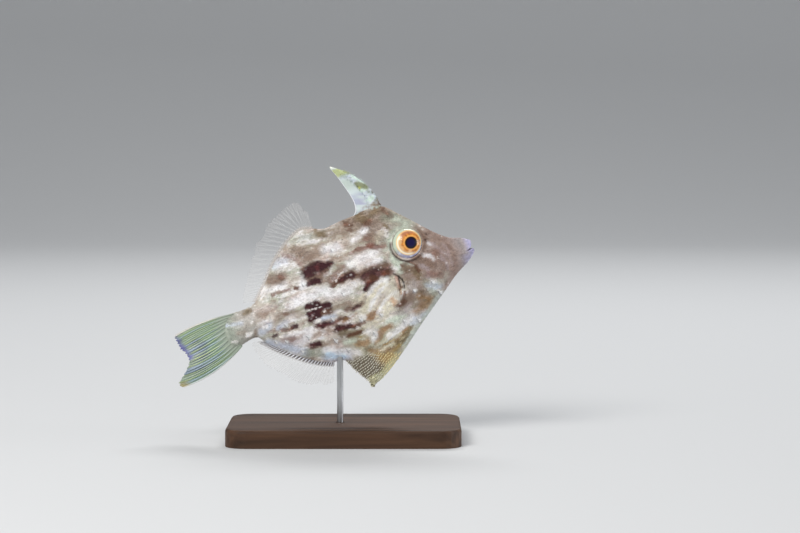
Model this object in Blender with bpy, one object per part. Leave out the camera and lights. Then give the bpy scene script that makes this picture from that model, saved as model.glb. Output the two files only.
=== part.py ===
# A small brown filefish as a life-size museum model, nose up on a display stand.
#
# The fish is modelled in its own frame: x runs forward from the root of the tail fin along the body's
# midline, z is up towards the back, and y is across, with the right side at -y. The empty "fish_pose"
# then tilts the whole fish nose up and lifts it over the stand. The origin of the finished model is the
# centre of the stand's underside.

import math

import bmesh
import bpy
from mathutils import Matrix, Vector
from mathutils.bvhtree import BVHTree

MM = 0.001
GAP = 0.3 * MM  # clearance between pieces that meet

# The pose, and the place of the tail root over the stand
PITCH = math.radians(19.5)
TAIL_ROOT = Vector((-31.3, 0.0, 30.8)) * MM

# The body, as a loft of upright sections from the lips to the tail root. Each has its highest point on the
# back and its lowest on the belly as (x, z), its half width, the share of its height at which it is widest,
# and how hollow its lower half is. All lengths are in millimetres.
SECTIONS = (
    # name, back, belly, half width, widest at, lower hollow
    ("lip front", (72.0, 1.1), (72.0, -0.7), 0.45, 0.50, 0.60),
    ("lip", (71.4, 2.5), (71.3, -1.8), 1.15, 0.50, 0.60),
    ("lip root", (69.4, 3.7), (69.0, -3.5), 1.60, 0.50, 0.62),
    ("snout", (66.0, 5.1), (64.8, -5.8), 2.20, 0.52, 0.66),
    ("eye front", (61.9, 8.7), (59.2, -9.8), 3.20, 0.57, 0.72),
    ("eye rear", (55.3, 15.8), (50.9, -15.7), 4.50, 0.60, 0.85),
    ("spine root", (50.4, 20.0), (43.8, -21.1), 5.10, 0.58, 1.05),
    ("nape", (42.8, 19.7), (36.4, -26.0), 5.45, 0.61, 1.30),
    ("flap tip", (37.6, 19.4), (32.3, -27.0), 5.45, 0.62, 1.40),
    ("flap edge", (34.0, 19.0), (29.1, -22.4), 5.30, 0.57, 1.20),
    ("flap notch", (30.4, 20.2), (26.6, -18.0), 5.10, 0.51, 0.90),
    ("hump", (26.4, 20.6), (22.8, -17.5), 4.80, 0.49, 0.80),
    ("flank", (19.0, 16.2), (17.2, -14.4), 4.15, 0.48, 0.78),
    ("rear flank", (12.2, 9.2), (11.2, -9.6), 3.15, 0.49, 0.75),
    ("fin ends", (8.6, 5.9), (7.6, -6.0), 2.45, 0.50, 0.72),
    ("stalk", (5.6, 5.0), (5.2, -3.6), 1.95, 0.52, 0.70),
    ("tail root", (0.1, 5.1), (-1.4, -5.0), 1.30, 0.51, 0.70),
    ("fin root", (-3.6, 5.5), (-4.4, -6.3), 0.75, 0.51, 0.70),
)
UPPER_HOLLOW = 0.74
ROUNDNESS = 1.75  # power of the fall from the flank to the edges
EDGE_HALF = 0.55 * MM  # rounding of the back and belly edges
STATIONS = 62
SIDE_STEPS = 10  # points from the widest level to each edge

# The eye: a flattened ball that looks a little forward
EYE_CENTRE = Vector((54.7, 3.6, 7.3)) * MM
EYE_RADIUS = 4.45 * MM
EYE_HALF_DEPTH = 2.8 * MM
EYE_FORWARD = math.radians(14)
EYE_MOUND = 0.5 * MM  # swelling of the head that carries the eye
EYE_MOUND_REACH = 5.8 * MM
RIM_RADIUS = 4.15 * MM  # of the fleshy ring round the part of the eye that shows
RIM_OUT = 1.2 * MM  # its place outwards from the eye's middle plane
RIM_THICKNESS = 0.42 * MM

NOSTRILS = ((60.6, 8.0), (59.9, 6.6))
NOSTRIL_RADIUS = 0.36 * MM

# The mouth: a narrow slot from its corner to the notch where the upper lip's front slopes up and away
MOUTH_CORNER = (69.7, -0.3)
MOUTH_HALF_GAPE = 0.05
MOUTH_NOTCH = (71.1, -0.16)
UPPER_LIP_FRONT = (72.2, 2.0)
MOUTH_REACH = 73.5

# Seams between the named parts of the body, as (x, z) in millimetres
LIP_SEAM = ((69.4, 8.0), (68.9, 3.0), (68.4, -1.0), (67.2, -8.0))
GILL_SEAM = (
    (40.6, 25.0), (42.2, 17.5), (44.9, 9.5), (47.4, 2.4), (49.7, -0.4),
    (50.3, -3.8), (50.2, -9.0), (49.7, -14.0), (48.8, -22.0),
)
FLAP_SEAM = ((46.8, -21.5), (44.7, -18.6), (41.0, -18.3), (36.0, -18.7), (30.0, -19.1), (22.0, -19.6))
STALK_SEAM = ((8.3, 12.0), (7.5, 3.0), (6.9, -2.0), (6.2, -12.0))
TAIL_SEAM = ((1.4, 9.0), (-1.2, 4.3), (-2.5, 1.0), (-2.7, -1.4), (-2.1, -3.9), (-0.4, -9.0))

# The gill slit, a crescent cut along the seam behind the head
SLIT = ((48.0, 1.7), (49.6, -0.2), (50.3, -2.4), (50.1, -4.6))
SLIT_WIDTH = 0.6
SLIT_INNER = 3.4 * MM

# The first dorsal spine with its web, as (x, z) in millimetres
SPINE_LINE = ((49.0, 18.4), (49.0, 22.5), (47.6, 27.3), (44.8, 31.4), (41.4, 34.7))
SPINE_HALF_LENGTH = (2.1, 0.16)  # half its fore-and-aft size at root and tip
SPINE_HALF_WIDTH = (1.05, 0.16)
BARBS = 8  # on each side
BARB_SPAN = (0.30, 0.88)  # shares of the spine's length where the first and last barbs sit
BARB_LENGTH = 0.95 * MM
BARB_RADIUS = 0.26 * MM
WEB_REAR = ((42.0, 20.1), (43.7, 21.4), (44.1, 23.2), (43.6, 25.8), (42.8, 28.8), (42.0, 31.4), (41.4, 33.4))
WEB_SPAN = (0.56, 3.86)  # where the web starts and ends along the spine, counted in its points
WEB_ROWS, WEB_COLUMNS = 8, 5
WEB_HALF = 0.3 * MM

# The tip of the pelvis, a knob of bristly scales at the end of the flap
PELVIC_ROOT = Vector((32.9, 0.0, -25.9)) * MM
PELVIC_TIP = Vector((31.8, 0.0, -28.5)) * MM
PELVIC_RADII = (1.1 * MM, 0.5 * MM)
BRISTLE_RINGS = ((0.45, 6), (0.85, 5))  # share of the knob's length, and how many stand round it there
BRISTLE_LENGTH = 1.1 * MM  # from the knob's middle line
BRISTLE_RADIUS = 0.2 * MM

# Short blunt teeth along the rear edge of the flap, the tips of its rows of stiff scales
FLAP_TEETH = 13
FLAP_TEETH_SPAN = (8.32, 9.5)  # places along the belly, counted in sections
FLAP_TOOTH_LENGTH = 0.75 * MM
FLAP_TOOTH_SUNK = 0.5 * MM
FLAP_TOOTH_RADIUS = 0.3 * MM

# Fins. Rays lean back from square by these angles at the front and rear of each fin.
MEMBRANE_HALF = 0.25 * MM
RAY_RAISED = 0.17 * MM  # height of a ray over the membrane, on each face
RAY_SHARE = 0.46  # share of the pitch of the rays that a ray fills
EDGE_SCALLOP = 0.05  # how far the edge falls back between two rays, as a share of their length
DORSAL = {
    "rays": 30, "span": (9.85, 13.95), "length": (4.8, 7.6, 3.4), "peak": 0.16,
    "lean": (16, 44), "wave": 1.1, "turns": 1.4,
}
ANAL = {
    "rays": 28, "span": (10.75, 14.15), "length": (5.4, 7.3, 3.2), "peak": 0.26,
    "lean": (18, 52), "wave": 1.0, "turns": 1.3,
}
TAIL_WAVE = 0.9 * MM  # how far the tail fin's end ripples to each side
TAIL_RAYS = 12
TAIL_FAN = (math.radians(-5), math.radians(29))  # how far the top and bottom rays point down at the root
TAIL_BEND = (math.radians(18), math.radians(-19))  # and how much further they turn down by their tips
TAIL_LENGTH = (16.2, 12.9, 18.8)  # millimetres, for the top, shortest and bottom rays
TAIL_NOTCH = 0.52  # share of the way down at which the rays are shortest
PECTORAL_ROOT = ((48.5, -0.4), (47.7, -4.1))
PECTORAL_RAYS = 11
PECTORAL_LENGTH = (4.6, 7.4, 4.4)
PECTORAL_FAN = (math.radians(8), math.radians(78))  # from straight back, downwards
PECTORAL_OUT = math.radians(38)  # how far the fin stands off the flank

# The stand
BASE_SIZE = Vector((66.0, 38.0, 5.0)) * MM
BASE_CORNER = 6.0 * MM
BASE_BEVEL = 0.8 * MM
ROD_RADIUS = 0.9 * MM
ROD_X = -1.2 * MM
ROD_TOP = 28.6 * MM
ROD_SUNK = 3.0 * MM


def clear_scene():
    for item in list(bpy.data.objects):
        bpy.data.objects.remove(item)


def material(name, colour, roughness, metallic=0.0):
    made = bpy.data.materials.new(name)
    made.use_nodes = True
    shader = made.node_tree.nodes["Principled BSDF"]
    shader.inputs["Base Color"].default_value = (*colour, 1.0)
    shader.inputs["Roughness"].default_value = roughness
    shader.inputs["Metallic"].default_value = metallic
    return made


def along(values, place):
    """The smooth curve through values, at a place counted in values from the first."""
    last = len(values) - 1
    index = min(max(int(math.floor(place)), 0), last - 1)
    t = place - index
    near = [values[min(max(index + k, 0), last)] for k in (-1, 0, 1, 2)]
    if isinstance(near[0], (tuple, list)):
        return tuple(along_numbers([n[k] for n in near], t) for k in range(len(near[0])))
    return along_numbers(near, t)


def along_numbers(near, t):
    before, start, end, after = near
    bend = 2 * before - 5 * start + 4 * end - after
    return start + 0.5 * t * (end - before + t * (bend + t * (3 * (start - end) + after - before)))


def curve_points(points, steps):
    """Points along the smooth curve through a few given ones, steps to each stretch."""
    count = (len(points) - 1) * steps
    return [along(points, k / steps) for k in range(count + 1)]


def back_point(place):
    x, z = along([s[1] for s in SECTIONS], place)
    return Vector((x, 0.0, z)) * MM


def belly_point(place):
    x, z = along([s[2] for s in SECTIONS], place)
    return Vector((x, 0.0, z)) * MM


def eye_mound(x, z):
    away = math.hypot(x - EYE_CENTRE.x, z - EYE_CENTRE.z)
    return EYE_MOUND * math.exp(-((away / EYE_MOUND_REACH) ** 4))


def section_point(place, share, grow):
    """A point of the right side of a section: share runs from -1 on the belly to 1 on the back."""
    back, belly = back_point(place), belly_point(place)
    widest = belly.lerp(back, along([s[4] for s in SECTIONS], place))
    half = along([s[3] for s in SECTIONS], place) * MM
    if share >= 0:
        end, hollow = back, UPPER_HOLLOW
    else:
        end, hollow = belly, along([s[5] for s in SECTIONS], place)
    reach = abs(share)
    point = widest.lerp(end, reach)
    fall = max(0.0, 1.0 - reach**ROUNDNESS)
    body = half * fall**hollow + EDGE_HALF * math.sqrt(max(0.0, 1.0 - reach * reach))
    point.y = -(body + (eye_mound(point.x, point.z) + grow) * min(1.0, 3.0 * fall))
    return point


def body_mesh(stations=STATIONS, side_steps=SIDE_STEPS, grow=0.0):
    """The whole body from lips to tail root, closed at both ends."""
    bm = bmesh.new()
    shares = [math.sin(0.5 * math.pi * k / side_steps) for k in range(-side_steps, side_steps + 1)]
    last = len(SECTIONS) - 1
    loops = []
    for station in range(stations + 1):
        place = last * station / stations
        right = [bm.verts.new(section_point(place, share, grow)) for share in shares]
        left = [bm.verts.new((v.co.x, -v.co.y, v.co.z)) for v in right[1:-1]]
        loops.append(right + left[::-1])
    for fore, aft in zip(loops, loops[1:]):
        for k in range(len(fore)):
            j = (k + 1) % len(fore)
            bm.faces.new((fore[k], fore[j], aft[j], aft[k]))
    for loop in (loops[0], loops[-1]):
        bm.faces.new(loop)
    bmesh.ops.recalc_face_normals(bm, faces=bm.faces)
    return bm


def add_object(name, bm, finish, parent=None):
    mesh = bpy.data.meshes.new(name)
    bm.to_mesh(mesh)
    bm.free()
    made = bpy.data.objects.new(name, mesh)
    if finish is not None:
        mesh.materials.append(finish)
    made.parent = parent
    bpy.context.scene.collection.objects.link(made)
    return made


def prism(outline, low, high):
    """A closed block from an outline of (x, z) in millimetres, from y = low to y = high in metres."""
    bm = bmesh.new()
    near = [bm.verts.new((x * MM, low, z * MM)) for x, z in outline]
    face = bm.faces.new(near)
    made = bmesh.ops.extrude_face_region(bm, geom=[face])
    moved = [v for v in made["geom"] if isinstance(v, bmesh.types.BMVert)]
    bmesh.ops.translate(bm, verts=moved, vec=(0.0, high - low, 0.0))
    bmesh.ops.recalc_face_normals(bm, faces=bm.faces)
    return bm


def combine(target, others, operation):
    """Joins to the target, or cuts from it, a group of closed meshes, which are then removed."""
    group = bpy.data.collections.new("group")
    bpy.context.scene.collection.children.link(group)
    for other in others:
        bpy.context.scene.collection.objects.unlink(other)
        group.objects.link(other)
    modifier = target.modifiers.new(operation.lower(), "BOOLEAN")
    modifier.operation = operation
    modifier.operand_type = "COLLECTION"
    modifier.collection = group
    modifier.solver = "EXACT"
    apply_modifiers(target)
    for other in others:
        bpy.data.objects.remove(other)
    bpy.data.collections.remove(group)


def apply_modifiers(target):
    bpy.context.view_layer.update()
    graph = bpy.context.evaluated_depsgraph_get()
    mesh = bpy.data.meshes.new_from_object(target.evaluated_get(graph))
    target.modifiers.clear()
    target.data = mesh
    mesh.name = target.name


def keep_largest(target):
    """Drops every loose scrap but the largest closed surface."""
    bm = bmesh.new()
    bm.from_mesh(target.data)
    bmesh.ops.remove_doubles(bm, verts=bm.verts, dist=1e-7)
    left = set(bm.verts)
    shells = []
    while left:
        shell, front = set(), [left.pop()]
        while front:
            vert = front.pop()
            shell.add(vert)
            for edge in vert.link_edges:
                other = edge.other_vert(vert)
                if other in left:
                    left.remove(other)
                    front.append(other)
        shells.append(shell)
    shells.sort(key=len)
    for shell in shells[:-1]:
        bmesh.ops.delete(bm, geom=list(shell), context="VERTS")
    bm.to_mesh(target.data)
    bm.free()


# Body


def shifted(points, dx, dz=0.0):
    return [(x + dx, z + dz) for x, z in points]


def region(name):
    """The outline of one named part of the body, seen from the side."""
    wide = GAP / MM
    lip = curve_points(LIP_SEAM, 3)
    gill = curve_points(GILL_SEAM, 3)
    flap = curve_points(FLAP_SEAM, 3)
    stalk = curve_points(STALK_SEAM, 3)
    tail = curve_points(TAIL_SEAM, 3)
    if name == "lips":
        return [(80.0, 8.0)] + lip + [(80.0, -8.0)]
    if name == "head":
        return [(69.0, 30.0)] + shifted(lip, -wide) + [(60.0, -30.0)] + gill[::-1] + [(50.0, 40.0)]
    if name == "trunk":
        front = [p for p in shifted(gill, -1.25 * wide) if p[1] > -21.0]
        return [(40.0, 40.0)] + front + [(48.0, -23.0)] + flap + stalk[::-1] + [(9.0, 40.0)]
    if name == "flap":
        return shifted(flap, 0.0, -wide) + [(10.0, -40.0), (44.0, -40.0)]
    if name == "stalk":
        return shifted(stalk, -wide) + tail[::-1]
    raise ValueError(name)


def body_part(name, outline, finish):
    part = add_object(name, body_mesh(), finish)
    reach = 20 * MM
    combine(part, [add_object("block", prism(outline, -reach, reach), None)], "INTERSECT")
    return part


def eye_frame(side):
    """Places the eye on the right (-1) or left (1) side, its z axis looking out and a little forward."""
    centre = Vector((EYE_CENTRE.x, side * EYE_CENTRE.y, EYE_CENTRE.z))
    turn = Matrix.Rotation(side * (-EYE_FORWARD), 4, "Z")
    out = Matrix.Rotation(math.radians(-90 * side), 4, "X")
    return Matrix.Translation(centre) @ turn @ out


def eyeball(side, grow=0.0, segments=24, rings=12):
    bm = bmesh.new()
    bmesh.ops.create_uvsphere(bm, u_segments=segments, v_segments=rings, radius=1.0)
    size = Vector((EYE_RADIUS + grow, EYE_RADIUS + grow, EYE_HALF_DEPTH + grow))
    bmesh.ops.scale(bm, vec=size, verts=bm.verts)
    bmesh.ops.transform(bm, matrix=eye_frame(side), verts=bm.verts)
    return bm


def eye_rim(side):
    """A low fleshy ring where the head's skin meets the eyeball."""
    bm = bmesh.new()
    bmesh.ops.create_circle(bm, segments=8, radius=RIM_THICKNESS)
    bmesh.ops.rotate(bm, verts=bm.verts, matrix=Matrix.Rotation(math.radians(90), 3, "X"))
    bmesh.ops.translate(bm, verts=bm.verts, vec=(RIM_RADIUS, 0.0, 0.0))
    bmesh.ops.spin(
        bm, geom=bm.verts[:] + bm.edges[:], cent=(0, 0, 0), axis=(0, 0, 1),
        angle=math.radians(360), steps=24, use_merge=True,
    )
    bmesh.ops.recalc_face_normals(bm, faces=bm.faces)
    bmesh.ops.translate(bm, verts=bm.verts, vec=(0.0, 0.0, RIM_OUT))
    bmesh.ops.transform(bm, matrix=eye_frame(side), verts=bm.verts)
    return bm


def nostril(side, x, z, surface):
    """A short round pit, square to the side of the snout."""
    hit = surface.ray_cast(Vector((x * MM, side * 30 * MM, z * MM)), Vector((0, -side, 0)))
    bm = bmesh.new()
    bmesh.ops.create_cone(
        bm, cap_ends=True, segments=10, radius1=NOSTRIL_RADIUS, radius2=NOSTRIL_RADIUS, depth=1.8 * MM
    )
    turn = Vector((0, 0, 1)).rotation_difference(hit[1]).to_matrix().to_4x4()
    bmesh.ops.transform(bm, matrix=Matrix.Translation(hit[0]) @ turn, verts=bm.verts)
    return bm


def slit_outline():
    line = curve_points(SLIT, 4)
    count = len(line) - 1
    fore, aft = [], []
    for k, (x, z) in enumerate(line):
        half = 0.5 * SLIT_WIDTH * math.sin(math.pi * (k + 0.35) / (count + 0.7))
        fore.append((x + half, z))
        aft.append((x - half, z))
    return fore + aft[::-1]


def gill_slits():
    cuts = []
    for side in (-1, 1):
        low, high = sorted((side * SLIT_INNER, side * 12 * MM))
        cuts.append(add_object("slit", prism(slit_outline(), low, high), None))
    return cuts


def mouth_wedge():
    x, z = MOUTH_CORNER
    half = MOUTH_HALF_GAPE
    outline = [
        (x, z + half), (x, z - half), (MOUTH_REACH, z - 2 * half), (MOUTH_REACH, UPPER_LIP_FRONT[1]),
        UPPER_LIP_FRONT, MOUTH_NOTCH,
    ]
    return add_object("wedge", prism(outline, -5 * MM, 5 * MM), None)


def make_body(skin, lip_finish, pose):
    surface = BVHTree.FromBMesh(body_mesh())

    lips = body_part("lips", region("lips"), lip_finish)
    combine(lips, [mouth_wedge()], "DIFFERENCE")
    split_lips(lips, lip_finish, pose)

    head = body_part("head", region("head"), skin)
    combine(head, [add_object("rim", eye_rim(side), None) for side in (-1, 1)], "UNION")
    cuts = [add_object("socket", eyeball(side, GAP), None) for side in (-1, 1)]
    cuts += [add_object("pit", nostril(side, x, z, surface), None) for side in (-1, 1) for x, z in NOSTRILS]
    cuts += gill_slits()
    cuts.append(add_object("seat", spine_mesh(GAP), None))
    combine(head, cuts, "DIFFERENCE")
    keep_largest(head)

    trunk = body_part("trunk", region("trunk"), skin)
    combine(trunk, gill_slits() + [add_object("bore", rod_mesh(GAP, in_fish_frame=True), None)], "DIFFERENCE")
    keep_largest(trunk)

    flap = body_part("ventral_flap", region("flap"), skin)
    combine(flap, flap_teeth(), "UNION")
    combine(flap, [add_object("seat", pelvic_mesh(GAP), None)], "DIFFERENCE")
    keep_largest(flap)
    stalk = body_part("tail_stalk", region("stalk"), skin)
    for part in (head, trunk, flap, stalk):
        part.parent = pose
        part.data.shade_smooth()
        part.data.set_sharp_from_angle(angle=math.radians(40))


def split_lips(lips, finish, pose):
    """Parts the lips that the mouth has cut in two into an upper and a lower one."""
    for name, upper in (("lip_upper", True), ("lip_lower", False)):
        bm = bmesh.new()
        bm.from_mesh(lips.data)
        level = MOUTH_CORNER[1] * MM
        geom = bm.verts[:] + bm.edges[:] + bm.faces[:]
        bmesh.ops.bisect_plane(
            bm, geom=geom, plane_co=(0, 0, level), plane_no=(0, 0, 1),
            clear_inner=upper, clear_outer=not upper, dist=1e-8,
        )
        bmesh.ops.holes_fill(bm, edges=[e for e in bm.edges if e.is_boundary])
        bmesh.ops.translate(bm, verts=bm.verts, vec=(0, 0, 0.5 * GAP if upper else -0.5 * GAP))
        add_object(name, bm, finish, pose)
    bpy.data.objects.remove(lips)


# Dorsal spine, its web, and the tip of the pelvis


def tapered(line, half_long, half_wide, grow, steps, sides, tip_grow):
    """A closed, tapered spike along a curve of (x, z), elliptical in section."""
    bm = bmesh.new()
    points = curve_points(line, steps)
    count = len(points) - 1
    loops = []
    for k, (x, z) in enumerate(points):
        ahead, behind = points[min(k + 1, count)], points[max(k - 1, 0)]
        run = Vector((ahead[0] - behind[0], 0, ahead[1] - behind[1])).normalized()
        across = Vector((run.z, 0, -run.x))
        share = k / count
        long = (half_long[0] + (half_long[1] - half_long[0]) * share**0.9) * MM + grow
        wide = (half_wide[0] + (half_wide[1] - half_wide[0]) * share) * MM + grow
        centre = Vector((x, 0, z)) * MM + run * (grow if k == count and tip_grow else 0.0)
        loop = []
        for j in range(sides):
            angle = 2 * math.pi * j / sides
            point = centre + across * long * math.cos(angle)
            point.y += wide * math.sin(angle)
            loop.append(bm.verts.new(point))
        loops.append(loop)
    for low, high in zip(loops, loops[1:]):
        for j in range(sides):
            i = (j + 1) % sides
            bm.faces.new((low[j], low[i], high[i], high[j]))
    bm.faces.new(loops[0])
    bm.faces.new(loops[-1])
    bmesh.ops.recalc_face_normals(bm, faces=bm.faces)
    return bm


def spine_mesh(grow=0.0):
    line = SPINE_LINE if grow == 0.0 else shifted(SPINE_LINE, 0.0, -grow / MM)
    return tapered(line, SPINE_HALF_LENGTH, SPINE_HALF_WIDTH, grow, 4, 12, True)


def spike(root, ray, radius, sides=5):
    """A short pointed cone whose base is sunk at the root."""
    bm = bmesh.new()
    bmesh.ops.create_cone(
        bm, cap_ends=True, segments=sides, radius1=radius, radius2=0.12 * radius, depth=ray.length
    )
    turn = Vector((0, 0, 1)).rotation_difference(ray).to_matrix().to_4x4()
    bmesh.ops.transform(bm, matrix=Matrix.Translation(root + 0.5 * ray) @ turn, verts=bm.verts)
    return bm


def spine_frame(place):
    """A point on the spine's middle line, the way it runs there, and the way square to it to the head."""
    x, z = along(SPINE_LINE, place)
    x2, z2 = along(SPINE_LINE, place + 0.02)
    run = Vector((x2 - x, 0, z2 - z)).normalized()
    return Vector((x, 0, z)) * MM, run, Vector((run.z, 0, -run.x))


def barbs():
    """Small barbs in a row along each side of the spine, pointing down and back."""
    made = []
    last = len(SPINE_LINE) - 1
    for side in (-1, 1):
        for k in range(BARBS):
            share = BARB_SPAN[0] + (BARB_SPAN[1] - BARB_SPAN[0]) * (k + 0.25 * (side + 1)) / BARBS
            middle, run, across = spine_frame(last * share)
            wide = (SPINE_HALF_WIDTH[0] + (SPINE_HALF_WIDTH[1] - SPINE_HALF_WIDTH[0]) * share) * MM
            root = middle + Vector((0, 0.35 * side * wide, 0)) + 0.15 * MM * across
            reach = BARB_LENGTH * (1.15 - 0.5 * share) + 0.65 * wide
            ray = (Vector((0, side, 0)) - 0.75 * run + 0.1 * across).normalized() * reach
            made.append(add_object("barb", spike(root, ray, BARB_RADIUS * (1.25 - 0.6 * share)), None))
    return made


def make_spine(finish, web_finish, pose):
    spine = add_object("dorsal_spine", spine_mesh(), finish)
    combine(spine, barbs(), "UNION")
    keep_largest(spine)
    spine.parent = pose
    add_object("dorsal_spine_web", web_mesh(), web_finish, pose)


def web_mesh():
    """The thin triangular web behind the spine, from the back to near the tip."""
    bm = bmesh.new()
    last = len(SPINE_LINE) - 1
    near, far = [], []
    for side, store in ((-1, near), (1, far)):
        for row in range(WEB_ROWS + 1):
            share = row / WEB_ROWS
            place = WEB_SPAN[0] + (WEB_SPAN[1] - WEB_SPAN[0]) * share
            middle, run, across = spine_frame(place)
            root_half, tip_half = SPINE_HALF_LENGTH
            half = (root_half + (tip_half - root_half) * (place / last) ** 0.9) * MM
            front = middle - across * (half + GAP)
            rear_x, rear_z = along(WEB_REAR, share * (len(WEB_REAR) - 1))
            rear = Vector((rear_x, 0, rear_z)) * MM
            loop = []
            for column in range(WEB_COLUMNS + 1):
                point = front.lerp(rear, column / WEB_COLUMNS)
                point.y = side * WEB_HALF
                loop.append(bm.verts.new(point))
            store.append(loop)
    close_sheet(bm, near, far)
    return bm


def make_pelvic_spine(finish, pose):
    """The knob at the flap's tip with its bristles."""
    knob = add_object("pelvic_spine", pelvic_mesh(), finish)
    run = PELVIC_TIP - PELVIC_ROOT
    down = run.normalized()
    bristles = []
    for share, count in BRISTLE_RINGS:
        for k in range(count):
            angle = 2 * math.pi * (k + share) / count
            out = Vector((math.cos(angle) * -down.z, math.sin(angle), math.cos(angle) * down.x))
            ray = (0.8 * out + down).normalized() * BRISTLE_LENGTH
            root = PELVIC_ROOT + run * share
            bristles.append(add_object("bristle", spike(root, ray, BRISTLE_RADIUS), None))
    combine(knob, bristles, "UNION")
    keep_largest(knob)
    knob.parent = pose


def flap_teeth():
    """Teeth along the flap's rear edge, in its middle plane, pointing back and down."""
    made = []
    for k in range(FLAP_TEETH):
        place = FLAP_TEETH_SPAN[0] + (FLAP_TEETH_SPAN[1] - FLAP_TEETH_SPAN[0]) * k / (FLAP_TEETH - 1)
        run = (belly_point(place + 0.02) - belly_point(place - 0.02)).normalized()
        out = Vector((run.z, 0, -run.x))
        ray = (out + 0.35 * Vector((0, 0, -1))).normalized() * (FLAP_TOOTH_LENGTH + FLAP_TOOTH_SUNK)
        root = belly_point(place) - FLAP_TOOTH_SUNK * out
        made.append(add_object("tooth", spike(root, ray, FLAP_TOOTH_RADIUS), None))
    return made


def close_sheet(bm, near, far):
    """Faces of a thin sheet from its two grids of vertices, cut into triangles alike, and its rim."""
    rows, columns = len(near), len(near[0])
    for r in range(rows - 1):
        for c in range(columns - 1):
            for grid, turn in ((near, 1), (far, -1)):
                a, b = grid[r][c], grid[r][c + 1]
                d, e = grid[r + 1][c], grid[r + 1][c + 1]
                bm.faces.new((a, b, e)[::turn])
                bm.faces.new((a, e, d)[::turn])
    rim_near = near[0] + [row[-1] for row in near[1:]] + near[-1][-2::-1] + [row[0] for row in near[-2:0:-1]]
    rim_far = far[0] + [row[-1] for row in far[1:]] + far[-1][-2::-1] + [row[0] for row in far[-2:0:-1]]
    for k in range(len(rim_near)):
        j = (k + 1) % len(rim_near)
        bm.faces.new((rim_near[j], rim_near[k], rim_far[k], rim_far[j]))
    bmesh.ops.recalc_face_normals(bm, faces=bm.faces)


def pelvic_mesh(grow=0.0):
    bm = bmesh.new()
    run = PELVIC_TIP - PELVIC_ROOT
    bmesh.ops.create_uvsphere(bm, u_segments=12, v_segments=8, radius=1.0)
    for vert in bm.verts:
        share = 0.5 * (vert.co.z + 1)
        radius = PELVIC_RADII[0] + (PELVIC_RADII[1] - PELVIC_RADII[0]) * share + grow
        vert.co.x *= radius
        vert.co.y *= radius * 0.85
        vert.co.z *= 0.5 * run.length + grow
    turn = Vector((0, 0, 1)).rotation_difference(run).to_matrix().to_4x4()
    middle = PELVIC_ROOT.lerp(PELVIC_TIP, 0.5)
    bmesh.ops.transform(bm, matrix=Matrix.Translation(middle) @ turn, verts=bm.verts)
    return bm


# Fins


def ray_columns(rays):
    """Places across a fin of the foot, crest and foot of each ray, each with the ray's height there."""
    columns = []
    for k in range(rays):
        for offset, height in ((-0.5, 0.0), (0.0, 1.0), (0.5, 0.0)):
            columns.append(((k + 0.5 + offset * RAY_SHARE) / rays, height))
    return columns


def fin_sheet(grid_point, half_at, rows, rays):
    """A closed fin from a function of its middle surface and one of its membrane's half thickness."""
    bm = bmesh.new()
    near, far = [], []
    step = 1e-3
    for r in range(rows + 1):
        near_row, far_row = [], []
        for across, height in ray_columns(rays):
            out = r / rows
            reach = 1.0 - EDGE_SCALLOP * (1.0 - height)
            point = grid_point(out * reach, across)
            to_tip = grid_point(min(out + step, 1.0), across) - grid_point(max(out - step, 0.0), across)
            sideways = grid_point(out, min(across + step, 1.0)) - grid_point(out, max(across - step, 0.0))
            normal = to_tip.cross(sideways).normalized()
            half = half_at(out) + RAY_RAISED * height * (1.0 - 0.5 * out)
            near_row.append(bm.verts.new(point - normal * half))
            far_row.append(bm.verts.new(point + normal * half))
        near.append(near_row)
        far.append(far_row)
    close_sheet(bm, near, far)
    return bm


def three_way(values, share, peak):
    """Rises from the first value to the second at the peak, then falls to the third."""
    first, top, last = values
    if share < peak:
        return first + (top - first) * math.sin(0.5 * math.pi * share / peak)
    fall = max(0.0, math.cos(0.5 * math.pi * (share - peak) / (1 - peak)))
    return last + (top - last) * fall**0.8


def edge_fin(edge, up, fin):
    """A median fin along the back (up = 1) or the belly (up = -1) that ripples from side to side."""

    def grid_point(out, across):
        place = fin["span"][0] + (fin["span"][1] - fin["span"][0]) * across
        run = (edge(place + 0.02) - edge(place - 0.02)).normalized()
        square = Vector((up * run.z, 0, -up * run.x))
        lean = math.radians(fin["lean"][0] + (fin["lean"][1] - fin["lean"][0]) * across)
        ray = square * math.cos(lean) + run * math.sin(lean)
        long = three_way(fin["length"], across, fin["peak"]) * MM
        point = edge(place) + square * GAP + ray * long * out
        point.y += fin["wave"] * MM * out**1.3 * math.sin(2 * math.pi * (fin["turns"] * across + 0.15 * out))
        return point

    return fin_sheet(grid_point, lambda out: MEMBRANE_HALF, 4, fin["rays"])


def tail_ray_length(across):
    top, shortest, bottom = TAIL_LENGTH
    if across < TAIL_NOTCH:
        return shortest + (top - shortest) * (1 - across / TAIL_NOTCH) ** 1.1
    return shortest + (bottom - shortest) * ((across - TAIL_NOTCH) / (1 - TAIL_NOTCH)) ** 1.1


def tail_fin():
    def grid_point(out, across):
        seam = [p for p in curve_points(TAIL_SEAM, 8) if -5.6 < p[1] < 5.3]
        spot = along(seam, across * (len(seam) - 1))
        root = Vector((spot[0] - GAP / MM, 0, spot[1])) * MM
        start = TAIL_FAN[0] + (TAIL_FAN[1] - TAIL_FAN[0]) * across
        bend = TAIL_BEND[0] + (TAIL_BEND[1] - TAIL_BEND[0]) * across
        mean = start + 0.5 * bend * out
        ray = Vector((-math.cos(mean), 0, -math.sin(mean)))
        point = root + ray * tail_ray_length(across) * MM * out
        point.y += TAIL_WAVE * out * out * math.sin(math.pi * (1.5 * across + 0.2))
        return point

    return fin_sheet(grid_point, lambda out: MEMBRANE_HALF * (1.8 - 0.8 * out), 6, TAIL_RAYS)


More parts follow.
